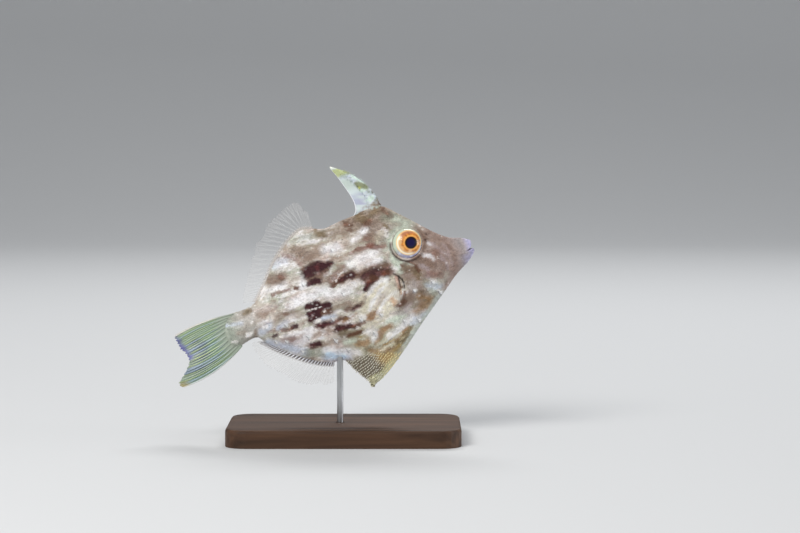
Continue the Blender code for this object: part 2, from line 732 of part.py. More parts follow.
def pectoral_fin(side, surface):
    """A small fan behind the gill slit that stands off the flank."""
    (x0, z0), (x1, z1) = PECTORAL_ROOT

    def root_point(across):
        x, z = x0 + (x1 - x0) * across, z0 + (z1 - z0) * across
        hit = surface.ray_cast(Vector((x * MM, side * 30 * MM, z * MM)), Vector((0, -side, 0)))
        return hit[0]

    ends = root_point(0.0), root_point(1.0)

    def grid_point(out, across):
        angle = PECTORAL_FAN[0] + (PECTORAL_FAN[1] - PECTORAL_FAN[0]) * across
        flat = Vector((-math.cos(angle), 0, -math.sin(angle)))
        ray = flat * math.cos(PECTORAL_OUT) + Vector((0, side, 0)) * math.sin(PECTORAL_OUT)
        long = three_way(PECTORAL_LENGTH, across, 0.45) * MM
        root = ends[0].lerp(ends[1], across)
        return root + ray * (0.45 * MM + long * out)

    def half_at(out):
        return MEMBRANE_HALF * (2.0 - min(1.0, 2 * out))

    return fin_sheet(grid_point, half_at, 4, PECTORAL_RAYS)


def make_fins(finish, pose):
    surface = BVHTree.FromBMesh(body_mesh(grow=GAP))
    add_object("soft_dorsal_fin", edge_fin(back_point, 1, DORSAL), finish, pose)
    add_object("anal_fin", edge_fin(belly_point, -1, ANAL), finish, pose)
    add_object("tail_fin", tail_fin(), finish, pose)
    for side, name in ((-1, "pectoral_fin_right"), (1, "pectoral_fin_left")):
        add_object(name, pectoral_fin(side, surface), finish, pose)


# Stand


def rod_mesh(grow=0.0, in_fish_frame=False):
    bm = bmesh.new()
    bottom = BASE_SIZE.z - ROD_SUNK
    bmesh.ops.create_cone(
        bm, cap_ends=True, segments=20, radius1=ROD_RADIUS + grow, radius2=ROD_RADIUS + grow,
        depth=ROD_TOP - bottom + 2 * grow,
    )
    bmesh.ops.translate(bm, verts=bm.verts, vec=(ROD_X, 0, 0.5 * (ROD_TOP + bottom)))
    if in_fish_frame:
        bmesh.ops.transform(bm, matrix=pose_matrix().inverted(), verts=bm.verts)
    return bm


def pose_matrix():
    return Matrix.Translation(TAIL_ROOT) @ Matrix.Rotation(-PITCH, 4, "Y")


def make_stand(wood, steel):
    bm = bmesh.new()
    bmesh.ops.create_cube(bm, size=1.0)
    bmesh.ops.scale(bm, vec=BASE_SIZE, verts=bm.verts)
    bmesh.ops.translate(bm, verts=bm.verts, vec=(0, 0, 0.5 * BASE_SIZE.z))
    corners = [e for e in bm.edges if abs(e.verts[0].co.z - e.verts[1].co.z) > 0.5 * BASE_SIZE.z]
    bmesh.ops.bevel(
        bm, geom=corners, offset=BASE_CORNER, segments=6, profile=0.5, affect="EDGES", material=-1
    )
    rim = [e for e in bm.edges if min(v.co.z for v in e.verts) > BASE_SIZE.z - 1e-6]
    bmesh.ops.bevel(bm, geom=rim, offset=BASE_BEVEL, segments=3, profile=0.5, affect="EDGES", material=-1)
    base = add_object("stand_base", bm, wood)
    combine(base, [add_object("hole", rod_mesh(GAP), None)], "DIFFERENCE")
    base.data.shade_smooth()
    base.data.set_sharp_from_angle(angle=math.radians(30))
    rod = add_object("stand_rod", rod_mesh(), steel)
    rod.data.shade_smooth()
    rod.data.set_sharp_from_angle(angle=math.radians(40))


def main():
    clear_scene()
    skin = material("skin", (0.55, 0.49, 0.43), 0.55)
    lip = material("lip", (0.58, 0.54, 0.62), 0.45)
    fin = material("fin", (0.52, 0.58, 0.42), 0.45)
    spine = material("spine", (0.62, 0.65, 0.55), 0.5)
    eye = material("eye", (0.75, 0.38, 0.08), 0.15)
    wood = material("wood", (0.16, 0.09, 0.05), 0.5)
    steel = material("steel", (0.6, 0.6, 0.62), 0.3, 1.0)
    pose = bpy.data.objects.new("fish_pose", None)
    bpy.context.scene.collection.objects.link(pose)
    pose.location = TAIL_ROOT
    pose.rotation_euler = (0, -PITCH, 0)

    make_body(skin, lip, pose)
    for side, name in ((-1, "eye_right"), (1, "eye_left")):
        add_object(name, eyeball(side), eye, pose).data.shade_smooth()
    make_spine(spine, fin, pose)
    make_pelvic_spine(spine, pose)
    make_fins(fin, pose)
    make_stand(wood, steel)


main()
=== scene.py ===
"""A young brown filefish as a life-size museum model, nose up on a small display stand."""

import math
import random

import bmesh
import bpy
import numpy as np
from mathutils import Matrix, Vector


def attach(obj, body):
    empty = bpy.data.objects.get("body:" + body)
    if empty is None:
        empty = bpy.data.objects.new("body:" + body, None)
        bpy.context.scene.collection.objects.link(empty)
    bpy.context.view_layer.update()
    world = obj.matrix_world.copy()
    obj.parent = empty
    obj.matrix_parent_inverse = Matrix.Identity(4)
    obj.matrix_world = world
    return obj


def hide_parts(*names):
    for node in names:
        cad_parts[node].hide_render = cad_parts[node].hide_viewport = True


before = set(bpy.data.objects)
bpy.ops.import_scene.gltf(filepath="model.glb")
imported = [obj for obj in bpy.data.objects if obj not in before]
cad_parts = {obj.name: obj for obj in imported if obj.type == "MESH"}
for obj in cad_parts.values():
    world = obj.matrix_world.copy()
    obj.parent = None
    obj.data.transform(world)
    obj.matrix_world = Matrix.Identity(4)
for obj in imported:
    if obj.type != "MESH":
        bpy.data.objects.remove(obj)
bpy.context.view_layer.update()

# Stand base. A small block of dark walnut, cut with rounded corners and an eased edge and rubbed down to a
# satin oil finish. The grain runs along its length.
WALNUT_DARK, WALNUT_PALE = (0.024, 0.012, 0.007, 1.0), (0.105, 0.052, 0.028, 1.0)


def new_finish(name, surface):
    """A fresh material with its node tree and its surface shader, whose own values are set."""
    finish = bpy.data.materials.new(name)
    finish.use_nodes = True
    shader = finish.node_tree.nodes["Principled BSDF"]
    for socket, value in surface.items():
        shader.inputs[socket].default_value = value
    return finish, finish.node_tree.nodes, finish.node_tree.links, shader


def grain_noise(nodes, links, scale, detail=4.0, distortion=0.0, stretch=(1.0, 1.0, 1.0)):
    """Noise over the object's own place in metres, drawn out along the axes by stretch."""
    place = nodes.new("ShaderNodeTexCoord")
    turn = nodes.new("ShaderNodeMapping")
    turn.inputs["Scale"].default_value = stretch
    noise = nodes.new("ShaderNodeTexNoise")
    noise.inputs["Scale"].default_value = scale
    noise.inputs["Detail"].default_value = detail
    noise.inputs["Distortion"].default_value = distortion
    links.new(place.outputs["Object"], turn.inputs["Vector"])
    links.new(turn.outputs["Vector"], noise.inputs["Vector"])
    return noise


def two_tones(nodes, links, shader, noise, dark, pale, low=0.3, high=0.7):
    """Colours the surface from dark to pale by a noise."""
    ramp = nodes.new("ShaderNodeValToRGB")
    ramp.color_ramp.elements[0].position, ramp.color_ramp.elements[1].position = low, high
    ramp.color_ramp.elements[0].color, ramp.color_ramp.elements[1].color = dark, pale
    links.new(noise.outputs["Fac"], ramp.inputs["Fac"])
    links.new(ramp.outputs["Color"], shader.inputs["Base Color"])


def raise_grain(nodes, links, shader, noise, distance, strength):
    bump = nodes.new("ShaderNodeBump")
    bump.inputs["Distance"].default_value = distance
    bump.inputs["Strength"].default_value = strength
    links.new(noise.outputs["Fac"], bump.inputs["Height"])
    links.new(bump.outputs["Normal"], shader.inputs["Normal"])


def walnut():
    surface = {"Roughness": 0.58, "Specular IOR Level": 0.22, "Coat Weight": 0.04, "Coat Roughness": 0.4}
    finish, nodes, links, shader = new_finish("walnut", surface)
    bands = grain_noise(nodes, links, 420.0, 5.0, 0.6, stretch=(0.05, 1.0, 0.6))
    pores = grain_noise(nodes, links, 1900.0, 2.0, stretch=(0.04, 1.0, 1.0))
    two_tones(nodes, links, shader, bands, WALNUT_DARK, WALNUT_PALE)
    raise_grain(nodes, links, shader, pores, 0.00012, 0.35)
    return finish


def refinish(node, finish):
    """Gives a CAD part its real finish."""
    for slot in bpy.data.objects[node].material_slots:
        slot.material = finish


refinish("stand_base", walnut())

# Stand rod. A thin bright steel pin, drawn and brushed along its length, pressed into the base below and into
# the belly of the fish above.
STEEL_DARK, STEEL_PALE = (0.36, 0.37, 0.38, 1.0), (0.56, 0.57, 0.58, 1.0)


def drawn_steel():
    finish, nodes, links, shader = new_finish("drawn_steel", {"Metallic": 1.0, "Roughness": 0.28})
    lines = grain_noise(nodes, links, 3800.0, 3.0, stretch=(1.0, 1.0, 0.03))
    two_tones(nodes, links, shader, lines, STEEL_DARK, STEEL_PALE)
    raise_grain(nodes, links, shader, lines, 0.00004, 0.3)
    return finish


refinish("stand_rod", drawn_steel())

# Skin. One closed hide over head, lips, trunk, flap and tail stalk, cast in one piece so that no seam
# shows, with the eye sockets, gill slits, nostrils and mouth carved in. It is tinted by hand under a damp
# satin coat.

# Lengths are in millimetres in the fish's own frame: x runs forward from the root of the tail fin, z is up
# towards the back and the right side is at -y. The pose tilts the fish nose up, over the stand.
MM = 0.001
NOSE_UP = math.radians(19.5)
TAIL_ROOT = Vector((-31.3, 0.0, 30.8)) * MM
POSE = Matrix.Translation(TAIL_ROOT) @ Matrix.Rotation(-NOSE_UP, 4, "Y") @ Matrix.Scale(MM, 4)

# Upright sections from the lips to the tail root: the highest point on the back and the lowest on the belly
# as (x, z), half the width, the share of the height at which it is widest, and how hollow the lower half is
SECTIONS = (
    ((71.8, 2.1), (72.0, -0.9), 0.45, 0.50, 0.60),
    ((71.4, 2.5), (71.3, -1.8), 1.15, 0.50, 0.60),
    ((69.4, 3.7), (69.0, -3.5), 1.60, 0.50, 0.62),
    ((66.0, 5.1), (64.8, -5.8), 2.20, 0.52, 0.66),
    ((61.9, 8.7), (59.2, -9.8), 3.20, 0.57, 0.72),
    ((55.3, 15.8), (50.9, -15.7), 4.50, 0.60, 0.85),
    ((50.4, 20.0), (43.8, -21.1), 5.10, 0.58, 1.05),
    ((42.8, 19.7), (36.4, -26.0), 5.45, 0.61, 1.30),
    ((37.6, 19.4), (32.3, -27.0), 5.45, 0.62, 1.40),
    ((34.0, 19.0), (29.1, -22.4), 5.30, 0.57, 1.20),
    ((30.4, 20.2), (26.6, -18.0), 5.10, 0.51, 0.90),
    ((26.4, 20.6), (22.8, -17.5), 4.80, 0.49, 0.80),
    ((19.0, 16.2), (17.2, -14.4), 4.15, 0.48, 0.78),
    ((12.2, 9.2), (11.2, -9.6), 3.15, 0.49, 0.75),
    ((8.6, 5.9), (7.6, -6.0), 2.45, 0.50, 0.72),
    ((5.6, 5.0), (5.2, -3.6), 1.95, 0.52, 0.70),
    ((0.1, 5.1), (-1.4, -5.0), 1.30, 0.51, 0.70),
    ((-3.6, 5.5), (-4.4, -6.3), 0.75, 0.51, 0.70),
)
UPPER_HOLLOW = 0.74
ROUNDNESS = 1.75  # power of the fall from the flank to the edges
EDGE_HALF = 0.55  # rounding of the back and belly edges
SKIN_INSET = 0.1  # the skin lies this far under the outside of the scales
TAIL_PLACE = 16.0  # the section where the flesh gives way to the tail fin
TAIL_BULGE = 1.9  # how far the middle of the flesh reaches back over the fin's root
EYE = (54.7, 7.3)
EYE_SHOWS = 4.05  # radius of the ball that shows
EYE_MOUND, EYE_MOUND_REACH = 0.5, 5.8
SOCKET_DEPTH, SOCKET_RIM, RIM_GROOVE = 2.0, 0.24, 0.12
SLIT = ((48.3, 0.7), (49.3, -0.3), (50.0, -1.6), (50.15, -2.9), (49.8, -4.2))
SLIT_DEPTH, SLIT_LIP = 1.0, 0.25
PECTORAL_ROOT = ((48.7, -0.4), (48.6, -2.0), (48.2, -3.7))
PECTORAL_MOUND = 0.45
NOSTRILS = ((60.6, 8.0), (59.9, 6.6))
NOSTRIL_DEPTH, NOSTRIL_RIM = 0.6, 0.14
MOUTH_LINE = ((69.0, -0.46), (70.2, -0.28), (71.2, -0.12), (73.0, 0.2))
LIP_ROOT = ((69.3, 3.9), (68.5, 1.6), (68.5, -0.8), (67.6, -3.9))
MOUTH_DEPTH, LIP_SWELL, LIP_GROOVE = 0.4, 0.12, 0.14
LIP_ROUNDING = 0.7  # share of the first section over which the lips round off
MOUTH_NOTCH, UPPER_LIP_LEAN = 0.5, 0.75  # how far the mouth and the upper lip's edge stand back
LUMP_HEIGHT, LUMP_SIZE = 0.09, 3.0
LIP_CROWDING, LIP_CROWDING_REACH = 1.2, 0.6  # extra sections of the mesh round the lips
SKIN_STATIONS, SKIN_ROWS = 250, 184
UNWRAP_HALF = (0.49, 0.24)  # half the length and height of one side on the unwrap
UNWRAP_MIDDLE = {-1: (0.5, 0.25), 1: (0.5, 0.75)}  # middle of the right and the left side there


def smooth(low, high, value):
    share = np.clip((value - low) / (high - low), 0.0, 1.0)
    return share * share * (3.0 - 2.0 * share)


def bell(value, width):
    return np.exp(-((value / width) ** 2))


def in_plane(x, z, y=0.0):
    """Places on a side, all at one y, for the noise."""
    return np.stack([x, z, np.full(len(x), y)], 1)


def noise_cells(points, seed):
    """Smooth random values between 0 and 1, one cell to a unit."""
    size = 48
    table = np.random.default_rng(seed).random((size, size, size))
    base = np.floor(points).astype(int)
    share = points - base
    share = share * share * (3.0 - 2.0 * share)
    total = np.zeros(len(points))
    for corner in range(8):
        step = np.array([corner & 1, corner >> 1 & 1, corner >> 2 & 1])
        weight = np.prod(np.where(step, share, 1.0 - share), axis=1)
        i, j, k = ((base + step) % size).T
        total += weight * table[i, j, k]
    return total


def cloud(points, cell, seed, octaves=3):
    """Layered noise from -1 to 1 whose largest lumps are a cell across."""
    total, weight, whole = np.zeros(len(points)), 1.0, 0.0
    for octave in range(octaves):
        total += weight * (2.0 * noise_cells(points * 2**octave / cell, seed + octave) - 1.0)
        whole += weight
        weight *= 0.55
    return 1.6 * total / whole


def curve_at(values, place):
    """The smooth curve through values, at places counted in values from the first."""
    values = np.asarray(values, float)
    last = len(values) - 1
    index = np.clip(np.floor(place).astype(int), 0, last - 1)
    t = place - index
    if values.ndim > 1:
        t = t[:, None]
    a, b, c, d = (values[np.clip(index + k, 0, last)] for k in (-1, 0, 1, 2))
    return b + 0.5 * t * (c - a + t * (2 * a - 5 * b + 4 * c - d + t * (3 * (b - c) + d - a)))


def off_line(x, z, points):
    """How far each place is from a bent line, how far along the line that is, and on which side of it."""
    best, along, hand = np.full(len(x), 1e9), np.zeros(len(x)), np.ones(len(x))
    for k, ((x0, z0), (x1, z1)) in enumerate(zip(points, points[1:])):
        dx, dz = x1 - x0, z1 - z0
        t = np.clip(((x - x0) * dx + (z - z0) * dz) / max(dx * dx + dz * dz, 1e-9), 0.0, 1.0)
        away = np.hypot(x - x0 - t * dx, z - z0 - t * dz)
        near = away < best
        best[near] = away[near]
        along[near] = ((k + t) / (len(points) - 1))[near]
        hand[near] = np.sign((x - x0) * dz - (z - z0) * dx)[near]
    return best, along, hand


def back_edge(place):
    return curve_at([s[0] for s in SECTIONS], place)


def belly_edge(place):
    return curve_at([s[1] for s in SECTIONS], place)


def relief(x, z):
    """The carved detail of a side: how far the skin stands out from the plain form."""
    from_eye = np.hypot(x - EYE[0], z - EYE[1])
    out = EYE_MOUND * np.exp(-((from_eye / EYE_MOUND_REACH) ** 4))
    out -= SOCKET_DEPTH * (1.0 - smooth(EYE_SHOWS - 0.35, EYE_SHOWS + 0.05, from_eye))
    out += SOCKET_RIM * bell(from_eye - EYE_SHOWS - 0.38, 0.26)
    out -= RIM_GROOVE * bell(from_eye - EYE_SHOWS - 0.95, 0.3)
    away, along, hand = off_line(x, z, SLIT)
    ends = np.sin(np.pi * np.clip(along, 0.03, 0.97)) ** 0.5
    out += ends * (SLIT_LIP * bell(away - 0.5, 0.3) * (hand > 0) - SLIT_DEPTH * bell(away, 0.18))
    out += PECTORAL_MOUND * bell(off_line(x, z, PECTORAL_ROOT)[0], 0.62)
    for spot in NOSTRILS:
        away = np.hypot(x - spot[0], z - spot[1])
        out += NOSTRIL_RIM * bell(away - 0.5, 0.2) - NOSTRIL_DEPTH * bell(away, 0.3)
    away, along, _ = off_line(x, z, MOUTH_LINE)
    out -= MOUTH_DEPTH * bell(away, 0.13) * smooth(0.15, 0.4, along)
    out += LIP_SWELL * bell(away - 0.45, 0.3) * smooth(0.0, 0.3, along)
    out -= LIP_GROOVE * bell(off_line(x, z, LIP_ROOT)[0], 0.3)
    return out + LUMP_HEIGHT * cloud(in_plane(x * 0.6, z), LUMP_SIZE, 40, 4)


def body_surface(place, share, inset=0.0):
    """Points of the right side. share runs from -1 on the belly edge to 1 on the back."""
    back, belly = back_edge(place), belly_edge(place)
    half, widest, hollow = (curve_at([s[k] for s in SECTIONS], place) for k in (2, 3, 4))
    reach = np.abs(share)
    centre = belly + (back - belly) * widest[:, None]
    end = np.where((share >= 0)[:, None], back, belly)
    x, z = (centre + (end - centre) * reach[:, None]).T
    fall = np.maximum(0.0, 1.0 - reach**ROUNDNESS)
    plain = half * fall ** np.where(share >= 0, UPPER_HOLLOW, hollow)
    plain += EDGE_HALF * np.sqrt(np.maximum(0.0, 1.0 - reach**2))
    tip = np.sqrt(np.clip(1.0 - (1.0 - np.clip(place / LIP_ROUNDING, 0.0, 1.0)) ** 2, 0.0, 1.0))
    root = np.sqrt(np.clip(1.0 - np.clip(place - TAIL_PLACE + 1.0, 0.0, 1.0) ** 2, 0.0, 1.0))
    y = (plain + relief(x, z) * np.minimum(1.0, 3.0 * fall) - inset) * tip * (0.1 + 0.9 * root)
    x = x - TAIL_BULGE * (1.0 - reach**2) * smooth(TAIL_PLACE - 1.2, TAIL_PLACE, place)
    notch = MOUTH_NOTCH * bell(off_line(x, z, MOUTH_LINE)[0], 0.22) * smooth(70.4, 71.6, x)
    upper = np.clip((z + 0.1) / 1.6, 0.0, 1.0)
    lean = UPPER_LIP_LEAN * (1.0 - upper) ** 1.2 * (z > -0.15) * smooth(70.6, 72.0, x)
    return np.stack([x - notch - lean, -np.maximum(y, 0.0), z], 1)


def even_places(count):
    """Places for evenly spaced sections, closer together round the lips."""
    fine = np.linspace(0.0, TAIL_PLACE, 900)
    middle = 0.5 * (back_edge(fine) + belly_edge(fine))
    run = np.concatenate([[0.0], np.cumsum(np.hypot(*np.diff(middle, axis=0).T))])
    run += LIP_CROWDING * (1.0 - np.exp(-fine / LIP_CROWDING_REACH))
    return np.interp(np.linspace(0.0, run[-1], count), run, fine), run[-1]


# The paint that skin and scales share: a pale grey-cream ground clouded with brown along the body, dark
# blotches on the flank, a brown head, an olive flap, pale patches, and small bright flecks that are painted
# glints. A few strokes are painted shadow. Each tone has its softness,
# and each stroke its tone, half its width, its strength and its line as (x, z) points.
PAINTS = {
    "dark": ((67, 36, 40), 0.5),
    "brown": ((102, 68, 52), 0.65),
    "rust": ((128, 88, 76), 0.6),
    "olive": ((122, 104, 76), 0.7),
    "ochre": ((160, 118, 74), 0.65),
    "orange": ((206, 150, 92), 0.6),
    "cream": ((224, 218, 198), 0.8),
    "white": ((246, 245, 248), 0.8),
    "mist": ((211, 220, 236), 0.85),
    "lilac": ((184, 172, 176), 0.7),
    "sage": ((158, 162, 146), 0.8),
    "mint": ((210, 220, 206), 0.8),
    "haze": ((210, 232, 252), 0.85),
    "gold": ((180, 156, 104), 0.6),
    "taupe": ((158, 140, 126), 0.85),
    "umber": ((132, 110, 96), 0.8),
    # painted glint: small bright points of light on the spiny skin
    "painted_glint": ((252, 248, 245), 0.5),
}
STROKES = (
    # broad patches under the rest
    ("taupe", 1.8, 0.75, (21.8, 16.4), (25.5, 15.2), (30.0, 14.4)),
    ("sage", 1.0, 0.55, (23.0, 19.2), (28.0, 18.6), (33.4, 17.8)),
    ("umber", 1.9, 0.7, (40.0, 18.4), (44.0, 17.4), (50.6, 18.2)),
    ("umber", 1.7, 0.65, (44.6, 14.2), (48.4, 14.6), (51.0, 16.0)),
    ("taupe", 1.2, 0.6, (33.0, 17.4), (38.6, 16.6)),
    ("taupe", 0.9, 0.5, (38.8, 12.2), (43.4, 12.0)),
    ("taupe", 0.7, 0.45, (28.2, 12.8), (31.8, 12.4)),
    ("lilac", 0.8, 0.25, (12.0, 3.4), (19.6, 3.4)),
    ("taupe", 0.9, 0.5, (12.6, -1.0), (19.8, -1.0)),
    ("lilac", 1.2, 0.5, (9.0, -7.2), (14.0, -8.4), (18.0, -8.2)),
    ("taupe", 1.2, 0.5, (28.8, -2.6), (32.6, -2.8), (37.4, -3.4)),
    ("taupe", 0.5, 0.5, (21.6, -8.2), (26.0, -8.2)),
    ("taupe", 0.6, 0.45, (23.0, -11.8), (28.4, -12.2)),
    ("umber", 2.1, 0.55, (50.8, -0.6), (52.8, -4.6), (52.4, -8.6)),
    ("umber", 1.6, 0.5, (49.0, -11.4), (54.6, -10.8)),
    ("sage", 1.6, 0.65, (56.6, -5.6), (58.8, -8.2), (55.4, -10.6)),
    ("sage", 1.4, 0.7, (51.6, 16.4), (54.4, 14.8), (57.2, 12.4)),
    ("mint", 0.7, 0.45, (53.0, 15.6), (56.0, 13.0)),
    ("mint", 1.2, 0.4, (55.6, -8.2), (58.8, -6.2), (62.2, -4.6)),
    ("mist", 1.3, 0.55, (17.0, 13.9), (20.4, 14.3)),
    ("sage", 1.3, 0.2, (17.6, 12.0), (21.4, 11.6)),
    ("white", 1.3, 0.2, (18.8, 12.4), (22.8, 12.2), (22.6, 9.2)),
    ("white", 1.1, 0.8, (22.6, 5.8), (24.0, 7.8)),
    ("white", 0.9, 0.6, (11.0, 7.8), (18.4, 8.0)),
    ("white", 1.2, 0.8, (32.6, 13.6), (35.9, 12.9)),
    ("white", 0.8, 0.85, (43.9, 14.6), (45.2, 15.1)),
    ("white", 0.8, 0.7, (40.6, 13.2), (42.6, 13.7)),
    ("white", 1.4, 0.7, (37.6, 7.4), (45.5, 8.1)),
    ("painted_glint", 0.7, 0.7, (38.3, 7.4), (39.3, 7.6)),
    ("cream", 1.0, 0.8, (46.4, 11.2), (48.8, 12.2)),
    ("white", 1.5, 0.7, (29.6, 1.2), (35.0, 0.8)),
    ("white", 1.3, 0.7, (19.6, 2.4), (28.6, 3.0)),
    ("mist", 0.8, 0.7, (12.4, -3.0), (15.0, -2.4)),
    ("mist", 1.1, 0.7, (7.6, -2.4), (10.2, -1.6)),
    ("white", 0.7, 0.75, (13.0, -5.9), (19.6, -6.2)),
    ("cream", 2.4, 0.85, (37.6, -4.8), (42.0, -2.6), (47.2, -2.6)),
    ("cream", 1.6, 0.75, (34.6, -8.6), (38.0, -7.0), (44.4, -6.4)),
    ("white", 0.7, 0.6, (35.4, -7.6), (37.6, -8.6)),
    ("mist", 0.75, 0.85, (25.4, -4.5), (28.4, -5.0)),
    ("white", 0.7, 0.85, (23.5, -4.9), (24.2, -4.9)),
    ("mist", 1.2, 0.8, (8.4, -6.4), (13.0, -9.4), (17.4, -12.2)),
    ("mist", 1.4, 0.8, (22.4, -14.9), (28.0, -17.4)),
    ("sage", 1.2, 0.7, (18.4, -12.6), (21.8, -13.8)),
    ("white", 1.0, 0.75, (19.0, -8.6), (20.6, -6.8)),
    ("white", 0.8, 0.85, (22.6, -13.5), (25.4, -14.0)),
    ("haze", 0.8, 0.75, (23.2, -15.0), (27.2, -16.7)),
    ("white", 1.0, 0.7, (26.4, -15.2), (31.4, -17.2)),
    ("white", 1.0, 0.75, (36.0, -12.4), (38.4, -13.6), (36.6, -15.0)),
    ("white", 1.1, 0.8, (41.4, -16.0), (46.4, -14.2), (49.6, -12.9)),
    ("cream", 1.4, 0.8, (40.6, -8.6), (45.4, -9.6)),
    ("mint", 1.1, 0.7, (42.6, -12.0), (46.6, -11.4)),
    ("mist", 0.9, 0.6, (48.6, -14.8), (52.4, -13.0)),
    ("painted_glint", 0.7, 0.6, (57.7, -4.8), (58.2, -5.4)),
    ("mint", 0.75, 0.7, (49.4, 4.8), (50.2, 2.8), (50.4, 0.8)),
    ("mint", 0.8, 0.6, (48.6, 8.0), (49.2, 10.4)),
    ("mint", 0.5, 0.75, (51.8, 2.9), (54.4, 1.4)),
    ("rust", 0.9, 0.6, (44.4, 12.6), (45.6, 11.4), (44.6, 10.6)),
    ("umber", 1.0, 0.7, (55.0, 2.4), (58.0, 0.6), (59.6, -1.6)),
    ("lilac", 0.5, 0.55, (60.6, 5.4), (62.6, 3.0), (64.2, 0.4)),
    ("lilac", 0.35, 0.5, (64.0, 4.0), (64.9, 1.2), (64.5, -2.4)),
    ("umber", 0.35, 0.45, (65.2, 3.6), (66.1, 1.0), (65.9, -1.6)),
    ("umber", 0.6, 0.5, (61.6, 2.6), (62.6, 0.0), (62.4, -2.8)),
    ("lilac", 0.5, 0.5, (56.2, 0.6), (57.8, -1.6), (57.4, -3.6)),
    ("olive", 0.9, 0.75, (51.6, 1.6), (54.0, -0.2), (55.2, -2.4)),
    ("olive", 1.0, 0.75, (53.2, -6.6), (54.8, -9.2)),
    ("ochre", 0.9, 0.8, (39.2, -13.8), (42.4, -13.0)),
    ("ochre", 0.9, 0.7, (31.8, -14.4), (33.6, -15.4), (35.2, -15.0)),
    ("ochre", 0.6, 0.6, (37.0, -16.8), (39.2, -14.8)),
    ("olive", 0.6, 0.6, (33.8, -17.2), (39.6, -17.6), (43.4, -16.6)),
    ("gold", 0.8, 0.6, (41.4, -19.0), (44.6, -17.2), (47.2, -15.6)),
    ("ochre", 1.1, 0.5, (50.8, -11.6), (55.6, -10.4)),
    ("lilac", 0.7, 0.55, (44.0, -9.6), (47.6, -10.6), (49.6, -9.0)),
    ("ochre", 0.7, 0.7, (37.4, -9.0), (39.4, -7.8)),
    ("olive", 0.28, 0.9, (46.3, -1.1), (47.3, -2.0), (48.2, -2.7)),
    ("cream", 0.7, 0.7, (34.8, -11.0), (37.4, -10.6), (41.0, -10.8)),
    ("olive", 0.6, 0.7, (30.0, -12.0), (33.0, -12.6)),
    ("mint", 0.7, 0.7, (29.0, -13.4), (31.4, -13.6)),
    ("ochre", 0.45, 0.7, (39.0, -17.6), (43.2, -17.0), (46.6, -15.2)),
    ("cream", 0.4, 0.7, (36.0, -17.4), (39.0, -16.6), (42.0, -15.4)),
    ("ochre", 0.8, 0.6, (35.0, -18.2), (39.4, -19.2), (43.0, -20.2)),
    ("olive", 0.35, 0.6, (41.6, -20.8), (45.4, -17.8), (48.6, -15.4)),
    ("ochre", 0.35, 0.55, (42.6, -21.2), (46.4, -18.6)),
    ("cream", 0.35, 0.8, (37.4, -18.8), (40.6, -18.1)),
    ("cream", 0.4, 0.8, (40.6, -17.6), (44.2, -16.2)),
    ("gold", 0.22, 0.8, (36.6, -18.2), (39.6, -17.6), (42.6, -17.0)),
    ("olive", 0.22, 0.8, (38.2, -20.0), (41.6, -18.9), (44.6, -17.9)),
    ("gold", 0.25, 0.8, (41.0, -20.0), (44.6, -18.8), (47.2, -17.2)),
    ("gold", 0.3, 0.7, (33.0, -13.4), (35.4, -13.0)),
    ("mint", 0.3, 0.7, (43.8, -19.6), (47.6, -16.9)),
    # the blotches over them, mostly dark, and two strokes of painted shadow
    ("brown", 1.1, 0.85, (25.2, 7.4), (28.4, 7.2), (30.6, 8.2)),
    ("umber", 1.2, 0.6, (28.6, 6.4), (30.6, 5.6)),
    ("dark", 1.65, 1.0, (25.4, 9.2), (27.4, 9.5), (29.4, 9.4)),
    ("dark", 0.6, 0.95, (28.0, 10.7), (29.0, 10.8)),
    ("dark", 0.7, 0.95, (24.9, 8.2), (26.6, 8.2)),
    ("dark", 0.7, 1.0, (30.0, 9.2), (31.6, 9.2), (32.8, 9.0)),
    ("dark", 0.85, 1.0, (24.9, 5.9), (26.4, 6.0), (27.9, 5.8)),
    ("rust", 1.2, 0.6, (31.2, 4.2), (33.4, 5.9), (35.4, 6.9)),
    ("brown", 0.55, 0.9, (31.2, 3.3), (33.8, 3.9)),
    ("brown", 1.2, 0.9, (33.6, 4.2), (35.4, 4.6), (37.6, 4.5)),
    ("dark", 0.85, 0.9, (34.0, 4.2), (35.6, 4.4), (37.4, 4.4)),
    ("brown", 1.5, 0.85, (39.9, 3.2), (43.2, 3.7), (47.4, 3.4)),
    ("dark", 0.95, 0.85, (40.4, 2.7), (42.4, 3.1), (44.0, 3.2)),
    ("dark", 1.05, 0.9, (42.9, 1.6), (44.6, 2.1), (46.8, 1.9)),
    ("dark", 0.9, 1.0, (39.5, -0.7), (40.9, 0.5), (42.8, 1.5)),
    ("brown", 0.9, 0.8, (40.2, 1.2), (42.0, 1.6), (43.4, 1.0)),
    ("brown", 0.9, 0.85, (46.0, 1.7), (47.9, 1.4)),
    ("brown", 0.22, 0.9, (46.3, 0.4), (46.9, -1.2), (48.0, -2.4)),
    ("brown", 0.14, 0.9, (48.6, -0.4), (49.0, -1.9), (49.3, -3.6)),
    ("dark", 0.95, 1.0, (22.3, 0.0), (23.9, -0.2), (25.3, 0.2)),
    ("dark", 1.05, 1.0, (25.4, -1.0), (27.0, -1.4), (28.0, -1.7)),
    ("dark", 0.95, 1.0, (22.3, -2.1), (24.0, -1.8), (25.8, -2.0)),
    ("dark", 1.05, 1.0, (22.2, -3.5), (23.2, -3.5), (24.6, -3.2)),
    ("brown", 0.85, 0.95, (26.2, -2.9), (28.0, -3.3)),
    ("brown", 1.05, 0.7, (23.4, -6.2), (27.9, -6.7)),
    ("dark", 0.8, 1.0, (23.8, -6.2), (25.6, -6.5), (28.0, -6.6)),
    ("brown", 0.5, 0.9, (28.3, -6.7), (31.8, -6.8)),
    ("ochre", 0.4, 0.6, (30.4, -7.6), (34.6, -6.4)),
    ("brown", 0.95, 0.75, (27.9, -8.9), (30.4, -9.1), (34.0, -9.6)),
    ("dark", 0.75, 0.95, (28.2, -8.8), (30.0, -8.9), (32.4, -9.4)),
